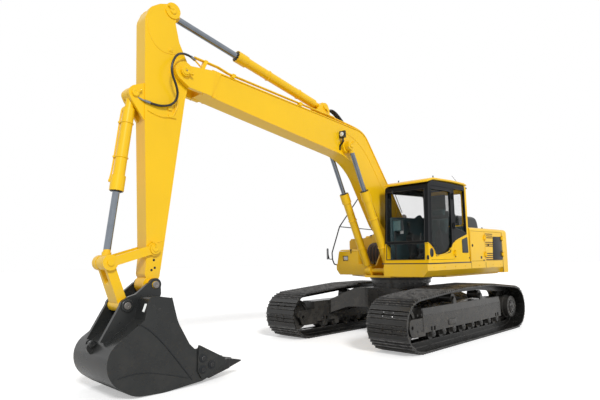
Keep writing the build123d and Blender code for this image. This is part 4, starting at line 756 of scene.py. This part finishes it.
def machine_body():
    """Doors' locks and slots, counterweight, hood, right deck and skirt."""
    panel = plate([(-1764, 2026), (-2226, 2031), (-2226, 1497), (-1708, 1497)], "Y", 1340, 1346, corner=10)
    fit("left_blank_panel", panel, "black_paint", "left_rear_door", bevel=1.5)
    lock = [(30, 0), (30, 5), (24, 9), (22, 4), (10, 4), (8, 2)]
    for door, x, y, z in (("left_rear", -1501, SIDE, 1835), ("left_front", -730, SIDE, 1820),
                          ("right_rear", -1120, -SIDE, 1820)):
        piece = repeat(turned(lock, 20), [toward(*outward(x, y, z))])
        fit(door + "_lock", piece, "black_paint", door + "_door")
    label = plate(oblong(-1165, 1535, -1095, 1590), "Y", 1341, 1344, corner=8)
    fit("left_blank_label", label, "black_paint", "left_front_door")
    # The louvre bars and the blocks behind them are dark orange-brown: painted shade of the slats and their
    # opening.
    louvres = []
    for low, high, count in ((1500, 1680, 4), (1800, 1925, 3), (1985, 2110, 3)):
        louvres.append(block((-1752, 1290, low - 5), (-1352, 1297, high + 5), 3))
        pitch = (high - low) / count
        louvres += [block((-1750, 1338, low + pitch * i + 1), (-1366, 1343.5, low + pitch * (i + 0.52)),
                          1.5, 1) for i in range(count)]
    fit("louvre_bars", joined(*louvres), "louvre", "left_rear_door")
    fit("door_stop", block((-1262, 1340, 1486), (-1226, 1352, 1514), 3), "black_paint", "left_front_door")
    # Black plates recessed into the right door stand for its slots: painted shade of the openings.
    slot = plate([(0, 0), (0, 18), (400, 18), (400, 0)], "Y", -1341, -1347, rim=3, corner=6)
    slots = repeat(slot, [at(-2120, 0, z) for z in range(1560, 2060, 60)])
    fit("right_door_slots", slots, "black_paint", "right_rear_door")

    # Counterweight: lifting eyes, tail lamps, a cast parting line and a black disc, painted shade, for a towing
    # pin hole.
    bail = tube([(-44, 0, 6), (-46, 0, 60), (0, 0, 104), (46, 0, 60), (44, 0, 6)], 13)
    eye = joined(turned([(58, 0), (58, 6), (40, 14)]), bail)
    fit("lifting_eyes", repeat(eye, [at(-2520, y, 2203) for y in (-760, 760)]), "black_paint")
    for name, finish, low, high in (("tail_lamp_frames", "black_paint", (-8, -95, -40), (8, 95, 40)),
                                    ("tail_lamps", "red_lens", (6, -84, -29), (14, 84, 29))):
        spots = [at(-WEIGHT_RADIUS * math.cos(a), WEIGHT_RADIUS * math.sin(a), 1960)
                 @ Matrix.Rotation(math.pi - a, 4, "Z") for a in (LAMP_TURN, -LAMP_TURN)]
        fit(name, repeat(block(low, high, 7, 3), spots), finish)
    reach = WEIGHT_RADIUS + 1
    seam = [(-reach * math.cos(a), reach * math.sin(a), 1500) for a in (-0.42 + 0.07 * i for i in range(13))]
    fit("casting_line", tube(seam, 5), "yellow_paint")
    # A black dished disc stands for the towing pin hole: painted shade of the opening.
    hole = turned([(70, 0), (70, 10), (58, 14), (50, 4), (20, 4)])
    fit("towing_hole_painted_shade", repeat(hole, [toward((-2893, 0, 1330), (-1, 0, 0))]), "black_paint")
    strips = [tube(at_y(s * 1343, (-2248, 1216), (-2248, 2130)), 5, smooth=False) for s in (1, -1)]
    fit("weight_joint", joined(*strips), "rubber")

    # Hood: grille, latches and grab bar.
    bar = plate([(0, 0), (0, 10), (8, 14), (16, 10), (16, 0)], "Y", -300, 640)
    bars = repeat(bar, [at(-1960 + 42 * i, 0, 2529) for i in range(16)])
    fit("hood_grille", bars, "black_paint", "engine_hood", bevel=1.5)
    latch = joined(block((-30, -22, 0), (30, 22, 10), 4),
                   tube(at_y(0, (-18, 8), (-18, 30), (18, 30), (18, 8)), 5))
    spots = [at(-1990, y, 2448) @ Matrix.Rotation(-1.0, 4, "Y") for y in (-260, 620)]
    fit("hood_latches", repeat(latch, spots), "black_paint", "engine_hood")
    grab = [(-1300, y, z) for y, z in ((700, 2520), (700, 2580), (560, 2584), (420, 2580), (420, 2520))]
    fit("hood_grab_bar", tube(grab, 12), "black_paint", "engine_hood")

    # Right deck: tank straps, caps and an anti-slip plate with raised studs.
    straps = [loop([(x, -1343, 1475), (x, -1343, top - 62), (x, -1281, top + 2), (x, -410, top + 2),
                    (x, -410, 1475)], 7) for x, top in ((-780, 2130), (-220, 2050))]
    fit("tank_straps", joined(*straps), "yellow_paint")
    cap = turned([(62, 0), (62, 18), (50, 26), (20, 26), (18, 34), (8, 36)])
    fit("filler_caps", repeat(cap, [at(-749, -873, 2186), at(-197, -873, 2106)]), "black_paint")
    spots = [(-430 + 52 * i, -1180 + 52 * j) for i in range(9) for j in range(14)]
    spots = [at(x, y, 2056) for x, y in spots if abs(x + 197) > 80 or abs(y + 873) > 80]
    studs = repeat(turned([(11, 0), (9, 5), (5, 6)], 8), spots)
    tread = plate(oblong(-460, -1215, 20, -450), "Z", 2049, 2056, corner=30)
    fit("tank_anti_slip", joined(tread, studs), "black_paint")
    lens = plate(oblong(-1136, 1549, -1004, 1641), "X", 545, 566, rim=10, corner=14)
    fit("toolbox_lamp", lens, "lamp_glass", bevel=2)
    rim = loop([(586, y, z) for y, z in oblong(-1141, 1544, -999, 1646)], 6)
    fit("toolbox_lamp_rim", rim, "black_paint")
    latch = joined(block((583, -930, 1770), (594, -880, 1790), 3),
                   block((583, -915, 1700), (596, -895, 1772), 3))
    fit("toolbox_latch", latch, "black_paint", "toolbox_lid")
    lens = turned([(46, 0), (46, 10), (40, 16), (20, 22)])
    lens = repeat(lens, [toward((2150, 228, 3968), FORWARD)])
    fit("boom_lamp_lens", lens, "lamp_glass", "boom")

    # Skirt: panel joints and bolts.
    joints = [tube(at_y(s * 1343, (x, 1340), (x, 1460)), 4, smooth=False)
              for s in (1, -1) for x in (-640, -1335)]
    fit("skirt_joints", joined(*joints), "rubber")
    along_skirt = (900, 480, 60, -360, -1000, -1700, -2100)
    spots = [outward(x, s * 1343, 1400) for s in (1, -1) for x in along_skirt if s > 0 or x < 200]
    bolts("skirt_bolts", "yellow_paint", "upper", spots, 22, 8)


def valve_and_hoses():
    """The hoses that rise from the valve beside the boom's foot, behind the clamp rail."""
    valve = [block((40, -400, 1465), (330, -215, 1640), 14), block((60, -390, 1640), (300, -230, 1700), 10)]
    valve += [block((70 + 60 * i, -380, 1700), (100 + 60 * i, -240, 1745), 6) for i in range(4)]
    fit("control_valve", joined(*valve), "engine_iron")
    for finish, first in (("brown_hose", 0), ("rubber", 1)):
        runs = []
        for i in range(first, HOSE_COUNT, 2):
            y = FIRST_HOSE - HOSE_PITCH * i
            runs.append(tube([(430 + 12 * (i % 3), y, 1462), (470, y, 1540), (500, y, 1680),
                              (470 - 10 * (i % 2), y, 1800), (400, y + 12, 1890), (240, y + 14, 1930),
                              (60, y + 10, 1900)], 19))
        fit(finish + "s", joined(*runs), finish)
    nut = joined(turned([(26, 0), (26, 30), (22, 34)], 6), turned([(22, 30), (22, 62)], 12))
    spots = [toward((432 + 12 * (i % 3), FIRST_HOSE - HOSE_PITCH * i, 1462), (0.35, 0, 1))
             for i in range(HOSE_COUNT)]
    fit("hose_nuts", repeat(nut, spots), "rod_chrome")
    rail = joined(block((448, -560, 1655), (488, -200, 1675), 4),
                  block((410, -560, 1465), (440, -520, 1670), 4))
    fit("clamp_rail", rail, "black_paint")
    guard = [(-560, 1480), (-210, 1480), (-205, 1840), (-345, 2190), (-372, 2290), (-470, 2170), (-640, 2120),
             (-640, 1700)]
    fit("boom_side_guard", plate(guard, "X", 108, 128, rim=10, corner=16), "yellow_paint", bevel=3)


cab_shell()
cab_inside()
operator_seat()
machine_body()
valve_and_hoses()


# ---- Boom and arm -------------------------------------------------------------------------------
BOOM_SKIN, ARM_SKIN, TIP_SKIN = 147, 129, 161
PIN_END = [(46, -16), (46, 8), (41, 13), (14, 13), (10, 9)]


def pin_cap(radius):
    """The end of a pin with its collar, and the keeper plate and bolt that stop it turning."""
    cap = turned([(radius * share, height) for share, height in
                  ((1, -14), (1, 8), (0.93, 13), (0.4, 13), (0.34, 9), (0.16, 9))], 28)
    keeper = [(radius * 0.55, -radius * 0.3), (radius * 0.55, radius * 0.3), (radius * 1.9, radius * 0.22),
              (radius * 1.9, -radius * 0.22)]
    head = repeat(bolt_head(radius * 0.34, 14), [at(radius * 1.6, 0, 18)])
    return joined(cap, plate(keeper, "Z", 0, 18, corner=radius * 0.12), head)


def pins_and_keepers():
    """Caps on both ends of each pin, from (x, z), |y| and the turn of the keeper in degrees."""
    for name, body, radius, rows in (
            ("boom_foot_pins", "upper", 62, [(BOOM_FOOT, 200, 200)]),
            ("boom_cylinder_foot_pins", "upper", 50, [(BOOM_CYLINDER[0], 318, 190)]),
            ("boom_pins", "boom", 50, [(BOOM_CYLINDER[1], 316, 120)]),
            ("arm_cylinder_foot_pins", "boom", 50, [(ARM_CYLINDER[0], 126, 240)]),
            ("boom_tip_pins", "boom", 62, [(BOOM_TIP, 245, 200)]),
            ("arm_pins", "arm", 52, [(ARM_CYLINDER[1], 144, 30), (BUCKET_CYLINDER[0], 126, 150)]),
            ("lever_pins", "arm", 42, [(LEVER_PIN, 188, 80)])):
        spots = [flank(x, s * y, z) @ Matrix.Rotation(math.radians(-s * turn), 4, "Z")
                 for (x, z), y, turn in rows for s in (1, -1)]
        fit(name, repeat(pin_cap(radius), spots), "yellow_paint", body, bevel=1.5)
    collar = [(78, 0), (78, 18), (70, 24), (52, 24), (50, 14)]
    for name, rows, sides, (x, z), y, body, finish in (
            ("bucket_arm_pin", PIN_END, 24, ARM_END, 240, "arm", "pin_steel"),
            ("link_foot_pin", PIN_END, 24, LINK_FOOT, 240, "bucket", "pin_steel"),
            ("link_foot_collars", collar, 28, LINK_FOOT, 222, "bucket", "bucket_paint")):
        fit(name, repeat(turned(rows, sides), [flank(x, s * y, z) for s in (1, -1)]), finish, body)


def on_boom(x):
    """Height of the boom's straight top behind its tip."""
    return 1563 - (x - 1908) * 0.3384


def welds_and_trim():
    """Weld beads and small lugs of the boom and the arm."""
    on_the_boom, on_the_arm = [], []
    for s in (1, -1):
        on_the_boom += [
            weld(at_y(s * BOOM_SKIN, (160, 300), (700, 640), (1400, 1040), (1960, 1330), (2500, 1200))),
            weld(at_y(s * TIP_SKIN, (5440, 330), (5428, 120), (5445, -120))),
            weld(at_y(s * 113, (2880, 1230), (3060, 1262), (3240, 1110)))]
        on_the_arm += [
            weld(at_y(s * ARM_SKIN, (-560, 640), (-160, 560), (-130, 300), (-250, 120))),
            weld(at_y(s * 113, (330, 470), (546, 520), (960, 360)), 6),
            weld(at_y(s * ARM_SKIN, (2440, -70), (2500, 30), (2470, 120)))]
    fit("boom_welds", joined(*on_the_boom), "yellow_paint", "boom", drawn=BOOM)
    fit("arm_welds", joined(*on_the_arm), "yellow_paint", "arm", drawn=ARM)
    stud = repeat(turned([(18, 0), (18, 4), (12, 6)], 16), [toward((0, 7, 0), (0, 1, 0))])
    lug = repeat(joined(block((-30, 0, -34), (30, 8, 34), 3), stud), [at(-262, 127, 224)])
    fit("arm_side_lug", lug, "yellow_paint", "arm", drawn=ARM)
    # Flat black heads on both sides of the arm mark three holes: painted shade of the holes.
    spots = [outward(x, s * ARM_SKIN, z) for x, z in ((2712, 20), (2812, -8), (2846, 34)) for s in (1, -1)]
    bolts("arm_hole_marks_painted_shade", "black_paint", "arm", spots, 24, 3, ARM)
    spots = [((x + d, s * 142, on_boom(x + d) + 58), (0.32, 0, 0.95)) for x in (3670, 5090) for d in (-14, 14)
             for s in (1, -1)]
    bolts("boom_pipe_bolts", "yellow_paint", "boom", spots, 16, 8, BOOM)
    plug = turned([(26, 0), (26, 8), (18, 12), (8, 12)], 16)
    spots = [flank(x, s * TIP_SKIN, z) for x, z in ((5390, 280), (5250, -10)) for s in (1, -1)]
    fit("boom_side_plugs", repeat(plug, spots), "yellow_paint", "boom", drawn=BOOM)
    grease = turned([(9, 0), (9, 8), (5, 10), (5, 16), (7, 18), (3, 22)], 10)
    nipples = repeat(grease, [flank(5843, s * 256, 0) for s in (1, -1)])
    fit("grease_points", nipples, "pin_steel", "boom", drawn=BOOM)
    spots = [((2150, y, z), FORWARD) for y in (178, 277) for z in (3915, 4020)]
    bolts("work_lamp_bolts", "rod_chrome", "boom", spots, 14, 5)


def hose_nut():
    return joined(turned([(24, 0), (24, 30), (20, 34)], 6), turned([(21, 28), (21, 74), (18, 80)], 14))


def pipes_on_the_back():
    """Steel pipes over the boom's bend and down its back, and the hoses at both ends."""
    lanes = (-118, -84, 84, 118)
    runs = [tube(at_y(y, (2830, 1305), (2500, 1412), (2250, 1492), (2050, 1540), (1880, 1556), (1720, 1504),
                      (1500, 1372), (1100, 1150), (600, 874), (160, 640)), 13) for y in lanes]
    fit("back_pipes", joined(*runs), "yellow_paint", "boom", drawn=BOOM)
    clip = joined(block((-16, -140, 0), (16, 140, 12), 4), block((-16, -136, 12), (16, -66, 42), 6),
                  block((-16, 66, 12), (16, 136, 42), 6))
    spots = [at(x, 0, z) @ Matrix.Rotation(-math.radians(slope), 4, "Y")
             for x, z, slope in ((2440, 1388, -18.7), (1480, 1318, 28.9), (760, 920, 28.9))]
    fit("back_pipe_clips", repeat(clip, spots), "yellow_paint", "boom", drawn=BOOM)
    droop = [(280, 1, 2630), (200, 1, 2580), (60, 1.02, 2440), (-60, 1.1, 2250), (-110, 1.15, 2050),
             (-90, 1.2, 1850), (-20, 1.2, 1700), (60, 1.2, 1600)]
    hoses = [tube([(x, y * spread, z) for x, spread, z in droop], 17) for y in lanes]
    loom = fit("boom_foot_hoses", joined(*hoses), "rubber", None)
    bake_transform(loom)

    # A hose loops from the boom's left ear over the joint and down to the bucket cylinder's port.
    path = [(5430, 164, 4556), (5480, 172, 4570), (5560, 190, 4574), (5652, 222, 4550), (5745, 256, 4500),
            (5815, 282, 4400), (5856, 292, 4280), (5840, 288, 4170), (5790, 278, 4080), (5742, 258, 4000),
            (5708, 222, 3910), (5722, 188, 3830), (5790, 172, 3765), (5890, 164, 3730), (5990, 158, 3722),
            (6090, 148, 3738)]
    hose = fit("tip_loop_hose", tube(path, 17, sides=3), "rubber", None)
    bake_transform(hose)
    nut = repeat(hose_nut(), [toward((5400, 162, 4542), (0.9, 0.1, 0.36))])
    fit("tip_pipe_nut", nut, "rod_chrome", "boom")
    pipe = tube([(5300, 158, 4470), (5350, 160, 4506), (5410, 163, 4546)], 12)
    fit("tip_pipe", pipe, "yellow_paint", "boom")
    port = joined(tube([(6086, 148, 3738), (6150, 142, 3748), (6215, 118, 3770), (6250, 96, 3800)], 12),
                  repeat(hose_nut(), [toward((6160, 140, 3750), (-1, 0.09, -0.12))]))
    fit("bucket_port_pipe", port, "rod_chrome", "arm")
    stay = tube([(5700, 132, 3800), (5690, 150, 3740), (5700, 150, 3650), (5760, 140, 3600)], 8)
    saddle = joined(block((5752, 124, 3700), (5812, 150, 3790), 5), stay,
                    block((5680, 126, 3596), (5800, 146, 3640), 5))
    fit("arm_hose_saddle", saddle, "yellow_paint", "arm")
    arc = at_y(131, (5652, 4040), (5640, 3820), (5700, 3640), (5830, 3580), (5980, 3584), (6110, 3640))
    fit("arm_weld_arc", tube(arc, 11), "yellow_paint", "arm")
    feeds = [tube(at_y(y, (2905, 1290), (2905, 1400), (2866, 1500), (2700, 1545), (2500, 1500),
                       (2350, 1455)), 16) for y in (-40, 0, 40)]
    fit("arm_cylinder_hoses", joined(*feeds), "rubber", "boom", drawn=BOOM)


# ---- Cylinders ----------------------------------------------------------------------------------
PIPE_SIDE = Matrix.Rotation(0.75, 4, "X")
# Name, pins, |y|, body, length and radii of the barrel, its head and the rod.
CYLINDERS = (("arm", ARM_CYLINDER, 0, "arm_barrel", 2063, 82, 98, 52),
             ("bucket", BUCKET_CYLINDER, 0, "bucket_barrel", 1330, 76, 92, 46),
             ("boom_left", BOOM_CYLINDER, 262, "boom_barrels", 1735, 80, 96, 44),
             ("boom_right", BOOM_CYLINDER, -262, "boom_barrels", 1735, 80, 96, 44))


def cylinder_dressing():
    """Bands, pipes, ports, head bolts and wipers, drawn with X from the foot pin to the rod's eye."""
    for name, (foot, eye), y, body, length, bore, head, rod in CYLINDERS:
        angle = math.degrees(math.atan2(eye[1] - foot[1], eye[0] - foot[0]))
        drawn = bench(*foot, angle) @ at(0, y, 0)
        aside = lambda *rows: [tuple(PIPE_SIDE @ Vector((x, 0, z))) for x, z in rows]
        stations = [length * 0.30 + 13, length * 0.66 + 13]
        bands = [loop([(x, u, v) for u, v in circle(bore + 2, 24)], 11) for x in stations]
        ear = block((-13, -34, bore), (13, 34, bore + 34), 5)
        ears = repeat(ear, [at(x, 0, 0) @ PIPE_SIDE for x in stations])
        fit(name + "_cylinder_bands", joined(joined(*bands), ears), "yellow_paint", body, 1.5, drawn)
        port_x = length - 120
        pipe = aside((port_x, head - 6), (port_x, head + 22), (length - 180, bore + 24),
                     (length - 320, bore + 20), (length * 0.5, bore + 20), (320, bore + 20),
                     (240, bore + 20), (196, bore + 10), (180, bore - 30))
        fit(name + "_cylinder_pipe", tube(pipe, 13), "yellow_paint", body, drawn=drawn)
        port = turned([(30, 0), (30, 20), (22, 24), (22, 40)], 18)
        spot = toward(aside((port_x, head - 14))[0], aside((0, 1))[0])
        fit(name + "_cylinder_port", repeat(port, [spot]), "yellow_paint", body, drawn=drawn)
        spots = [((length + 12, u, v), FORWARD) for u, v in circle(head - 20, 10)]
        bolts(name + "_head_bolts", "black_paint", body, spots, 18, 12, drawn)
        seal = turned([(rod + 16, length + 8), (rod + 16, length + 20), (rod + 6, length + 26)], 28)
        fit(name + "_rod_wiper", repeat(seal, [toward((0, 0, 0), FORWARD)]), "rubber", body, drawn=drawn)


# ---- Bucket -------------------------------------------------------------------------------------
BUCKET_SIDE, TOOTH_YS = 504, (-420, -210, 0, 210, 420)


def bucket_dressing():
    """Bolts of the side cutters, weld beads, a bare label, lug caps and the pins of the teeth."""
    spots = [outward(x, s * 528, z) for x, z in ((-535, -967), (-533, -1110), (-671, -1066))
             for s in (1, -1)]
    bolts("side_cutter_bolts", "tooth_steel", "bucket", spots, 58, 22, SCOOP)
    washers = repeat(turned([(56, 0), (56, 7), (50, 10)], 20), [toward(*spot) for spot in spots])
    fit("cutter_washers", washers, "black_paint", "bucket", drawn=SCOOP)
    beads = []
    for s in (1, -1):
        wall = s * BUCKET_SIDE
        crease = at_y(wall, (6287, 833), (6134, 706), (5936, 491), (5750, 254), (5612, 84))
        beads += [tube([(6372, wall - s, 858)] + crease, 9),
                  tube(at_y(wall, (6600, 262), (6435, 300), (6200, 278), (5931, 198), (5660, 110)), 6)]
    # The side weld beads are black: painted shade along the bucket's side creases.
    fit("bucket_side_welds_painted_shade", joined(*beads), "black_paint", "bucket")
    label = plate([(6256, 1088), (6284, 1096), (6318, 1004), (6290, 994)], "Y", 503, 506)
    fit("shoulder_blank_label", label, "label", "bucket", bevel=1)
    spots = [outward(x, s * 503, z) for x, z in ((6170, 1055), (6083, 1005)) for s in (1, -1)]
    bolts("shoulder_bolts", "bucket_paint", "bucket", spots, 26, 9)
    cap = turned([(44, 0), (44, 10), (34, 16), (22, 16), (20, 10)], 24)
    spots = [flank(x, s * 43, z) for x, z in ((632, -716), (717, -672)) for s in (1, -1)]
    fit("rear_lug_caps", repeat(cap, spots), "bucket_paint", "bucket", drawn=SCOOP)
    spots = [flank(5235, y + s * 50, 150, s) for y in TOOTH_YS for s in (1, -1)]
    fit("tooth_pins", repeat(turned([(16, 0), (16, 8), (12, 12)], 12), spots), "tooth_steel", "bucket")


# ---- Undercarriage ------------------------------------------------------------------------------
TRACK_Y, SPROCKET_X, IDLER_X, AXLE, WRAP = 1295, -2020, 2020.0, 460, 366.0
CARRIERS, LIFT = (387.0, -760.0), 112
SHOE_COUNT, ROLLER_COUNT, ROLLER_SPAN, ROLLER_SHIFT = 48, 8, 2660, -60


def shoe_places():
    """Both ends and the outward side of each shoe along one track, about y = 0."""
    carried = [Vector((x, 0, AXLE + WRAP + LIFT)) for x in CARRIERS]
    front, rear = math.atan2(LIFT, IDLER_X - CARRIERS[0]), math.atan2(LIFT, IDLER_X + CARRIERS[1])
    rim = lambda x, a: Vector((x + WRAP * math.cos(a), 0, AXLE + WRAP * math.sin(a)))
    up = math.pi / 2
    runs = [("arc", IDLER_X, -up, up - front), ("line", rim(IDLER_X, up - front), carried[0]),
            ("line", *carried), ("line", carried[1], rim(-IDLER_X, up + rear)),
            ("arc", -IDLER_X, up + rear, 3 * up), ("line", rim(-IDLER_X, -up), rim(IDLER_X, -up))]
    lengths = [WRAP * (run[3] - run[2]) if run[0] == "arc" else (run[2] - run[1]).length for run in runs]

    def pin(distance):
        for run, length in zip(runs, lengths):
            if distance <= length or run is runs[-1]:
                if run[0] == "arc":
                    return rim(run[1], run[2] + distance / WRAP)
                return run[1].lerp(run[2], distance / length)
            distance -= length

    chain = [pin(sum(lengths) * i / SHOE_COUNT) for i in range(SHOE_COUNT)]
    for a, b in zip(chain, chain[1:] + chain[:1]):
        run = (b - a).normalized()
        yield a, b, Vector((run.z, 0, -run.x))


def undercarriage():
    """Bolts, rims, caps and welds of each track, and the seal of the slewing ring."""
    roller_xs = [ROLLER_SPAN * (i / (ROLLER_COUNT - 1) - 0.5) + ROLLER_SHIFT for i in range(ROLLER_COUNT)]
    for side, s in (("left", 1), ("right", -1)):
        def add(name, piece, finish, bevel=0.0):
            fit(side + name, piece, finish, "undercarriage", bevel)

        def screw(name, finish, rows, size, height):
            spots = [outward(x, s * (TRACK_Y + out), z) for x, out, z in rows]
            bolts(side + name, finish, "undercarriage", spots, size, height)

        def standing(rows):
            return [toward(*outward(x, s * (TRACK_Y + out), z)) for x, out, z in rows]

        spots = [toward(a.lerp(b, share) + out * 65 + Vector((0, s * TRACK_Y + d, 0)), out)
                 for a, b, out in shoe_places() for share in (0.335, 0.665) for d in (-92, 92)]
        add("_shoe_bolts", repeat(turned([(19, 0), (19, 12), (14, 16)], 6), spots), "track_steel")
        wheel = [(SPROCKET_X + u, out, AXLE + v) for radius, count, out in ((198, 16, 262), (120, 8, 285))
                 for u, v in circle(radius, count)]
        screw("_final_drive_bolts", "chassis_paint", wheel, 30, 16)
        rim = turned([(228, 0), (228, 10), (214, 16), (150, 16)], 48)
        add("_final_drive_rim", repeat(rim, standing([(SPROCKET_X, 252, AXLE)])), "chassis_paint")
        plug = turned([(40, 0), (40, 8), (26, 14), (26, 22)], 6)
        spots = standing([(SPROCKET_X + dx, 285, AXLE + dz) for dx, dz in ((0, 0), (70, -60))])
        add("_final_drive_plugs", repeat(plug, spots), "track_steel")
        saddles = [(x + dx, 181, 262) for x in roller_xs for dx in (-38, 38)]
        screw("_roller_bolts", "track_steel", saddles, 26, 14)
        hub = turned([(60, 0), (60, 12), (46, 20), (24, 20), (20, 12)], 24)
        add("_roller_caps", repeat(hub, standing([(x, 181, 231) for x in roller_xs])), "track_steel")
        cover = plate([(430, 330), (430, 440), (720, 440), (720, 330)], "Y", s * (TRACK_Y + 184),
                      s * (TRACK_Y + 193), rim=10, corner=26)
        add("_adjuster_cover", cover, "chassis_paint", 2)
        screw("_adjuster_bolts", "track_steel", [(x, 192, z) for x in (455, 695) for z in (350, 420)], 20, 9)
        screw("_guard_bolts", "track_steel", [(x, 186, z) for x in (1650, 1780) for z in (600, 330)], 26, 12)
        wall = s * (TRACK_Y + 186)
        beads = joined(weld(at_y(wall, (1560, 585), (600, 572), (-600, 572), (-1570, 585)), 6),
                       weld(at_y(wall, (1600, 690), (1606, 480), (1596, 300)), 7))
        add("_frame_welds", beads, "chassis_paint")
    seal = turned([(652, 1130), (664, 1138), (664, 1168), (652, 1176)], 96)
    fit("slewing_seal", seal, "rubber", "undercarriage")
    spots = [((u, v, 1062), (0, 0, -1)) for u, v in circle(618, 36)]
    bolts("slewing_bolts", "track_steel", "undercarriage", spots, 30, 16)


pins_and_keepers()
welds_and_trim()
pipes_on_the_back()
cylinder_dressing()
bucket_dressing()
undercarriage()


# ---- Studio ---------------------------------------------------------------------------------
FLOOR_RADIUS, FLOOR_GLOW, FILL_LIGHT, SUN_ENERGY = 90.0, 0.4, 0.42, 2.1


def studio():
    """A pale floor, a world that looks white to the eye and lights more softly, and one key lamp."""
    bpy.ops.mesh.primitive_circle_add(vertices=96, radius=FLOOR_RADIUS, fill_type="NGON", location=(0, 0, 0))
    floor = bpy.context.object
    floor.name = "floor"
    s = Shader("studio_floor")
    floor.data.materials.append(s.finish((0.9, 0.9, 0.9), 0.8))
    glow = s.add("ShaderNodeEmission", None, Color=(1, 1, 1), Strength=s.ray("Camera") * FLOOR_GLOW)
    both = s.tree.nodes.new("ShaderNodeAddShader")
    s.tree.links.new(s.surface.outputs[0], both.inputs[0])
    s.tree.links.new(glow.socket, both.inputs[1])
    s.tree.links.new(both.outputs[0], s.tree.nodes["Material Output"].inputs["Surface"])

    scene = bpy.context.scene
    scene.view_settings.view_transform = "Standard"
    scene.world = bpy.data.worlds.new("studio")
    sky = Nodes(scene.world)
    seen = sky.ray("Camera").most(sky.ray("Transmission")).most(sky.ray("Glossy"))
    back = sky.tree.nodes["Background"]
    sky.feed(back.inputs["Color"], (1, 1, 1))
    sky.feed(back.inputs["Strength"], seen * (1.0 - FILL_LIGHT) + FILL_LIGHT)

    sun = bpy.data.objects.new("key", bpy.data.lights.new("key", "SUN"))
    sun.data.energy = SUN_ENERGY
    sun.data.angle = math.radians(12)
    sun.rotation_euler = Vector((0.5, 1.0, 0.8)).to_track_quat("Z", "Y").to_euler()
    scene.collection.objects.link(sun)


def camera():
    """Stands before the left front corner at eye height and looks up a little."""
    yaw, pitch, roll = (math.radians(a) for a in (225.03, 6.946, -0.992))
    forward = Vector((math.cos(yaw) * math.cos(pitch), math.sin(yaw) * math.cos(pitch), math.sin(pitch)))
    right = forward.cross(Vector((0, 0, 1))).normalized()
    up = right.cross(forward)
    across = right * math.cos(roll) + up * math.sin(roll)
    upward = up * math.cos(roll) - right * math.sin(roll)
    eye = bpy.data.objects.new("camera", bpy.data.cameras.new("camera"))
    eye.data.lens = 28.911
    eye.data.clip_end = 300.0
    turn = Matrix((across, upward, -forward)).transposed()
    eye.matrix_world = Matrix.Translation(here(9.1405, 6.0538, 1.6022)) @ turn.to_4x4()
    bpy.context.scene.collection.objects.link(eye)
    bpy.context.scene.camera = eye


studio()
camera()
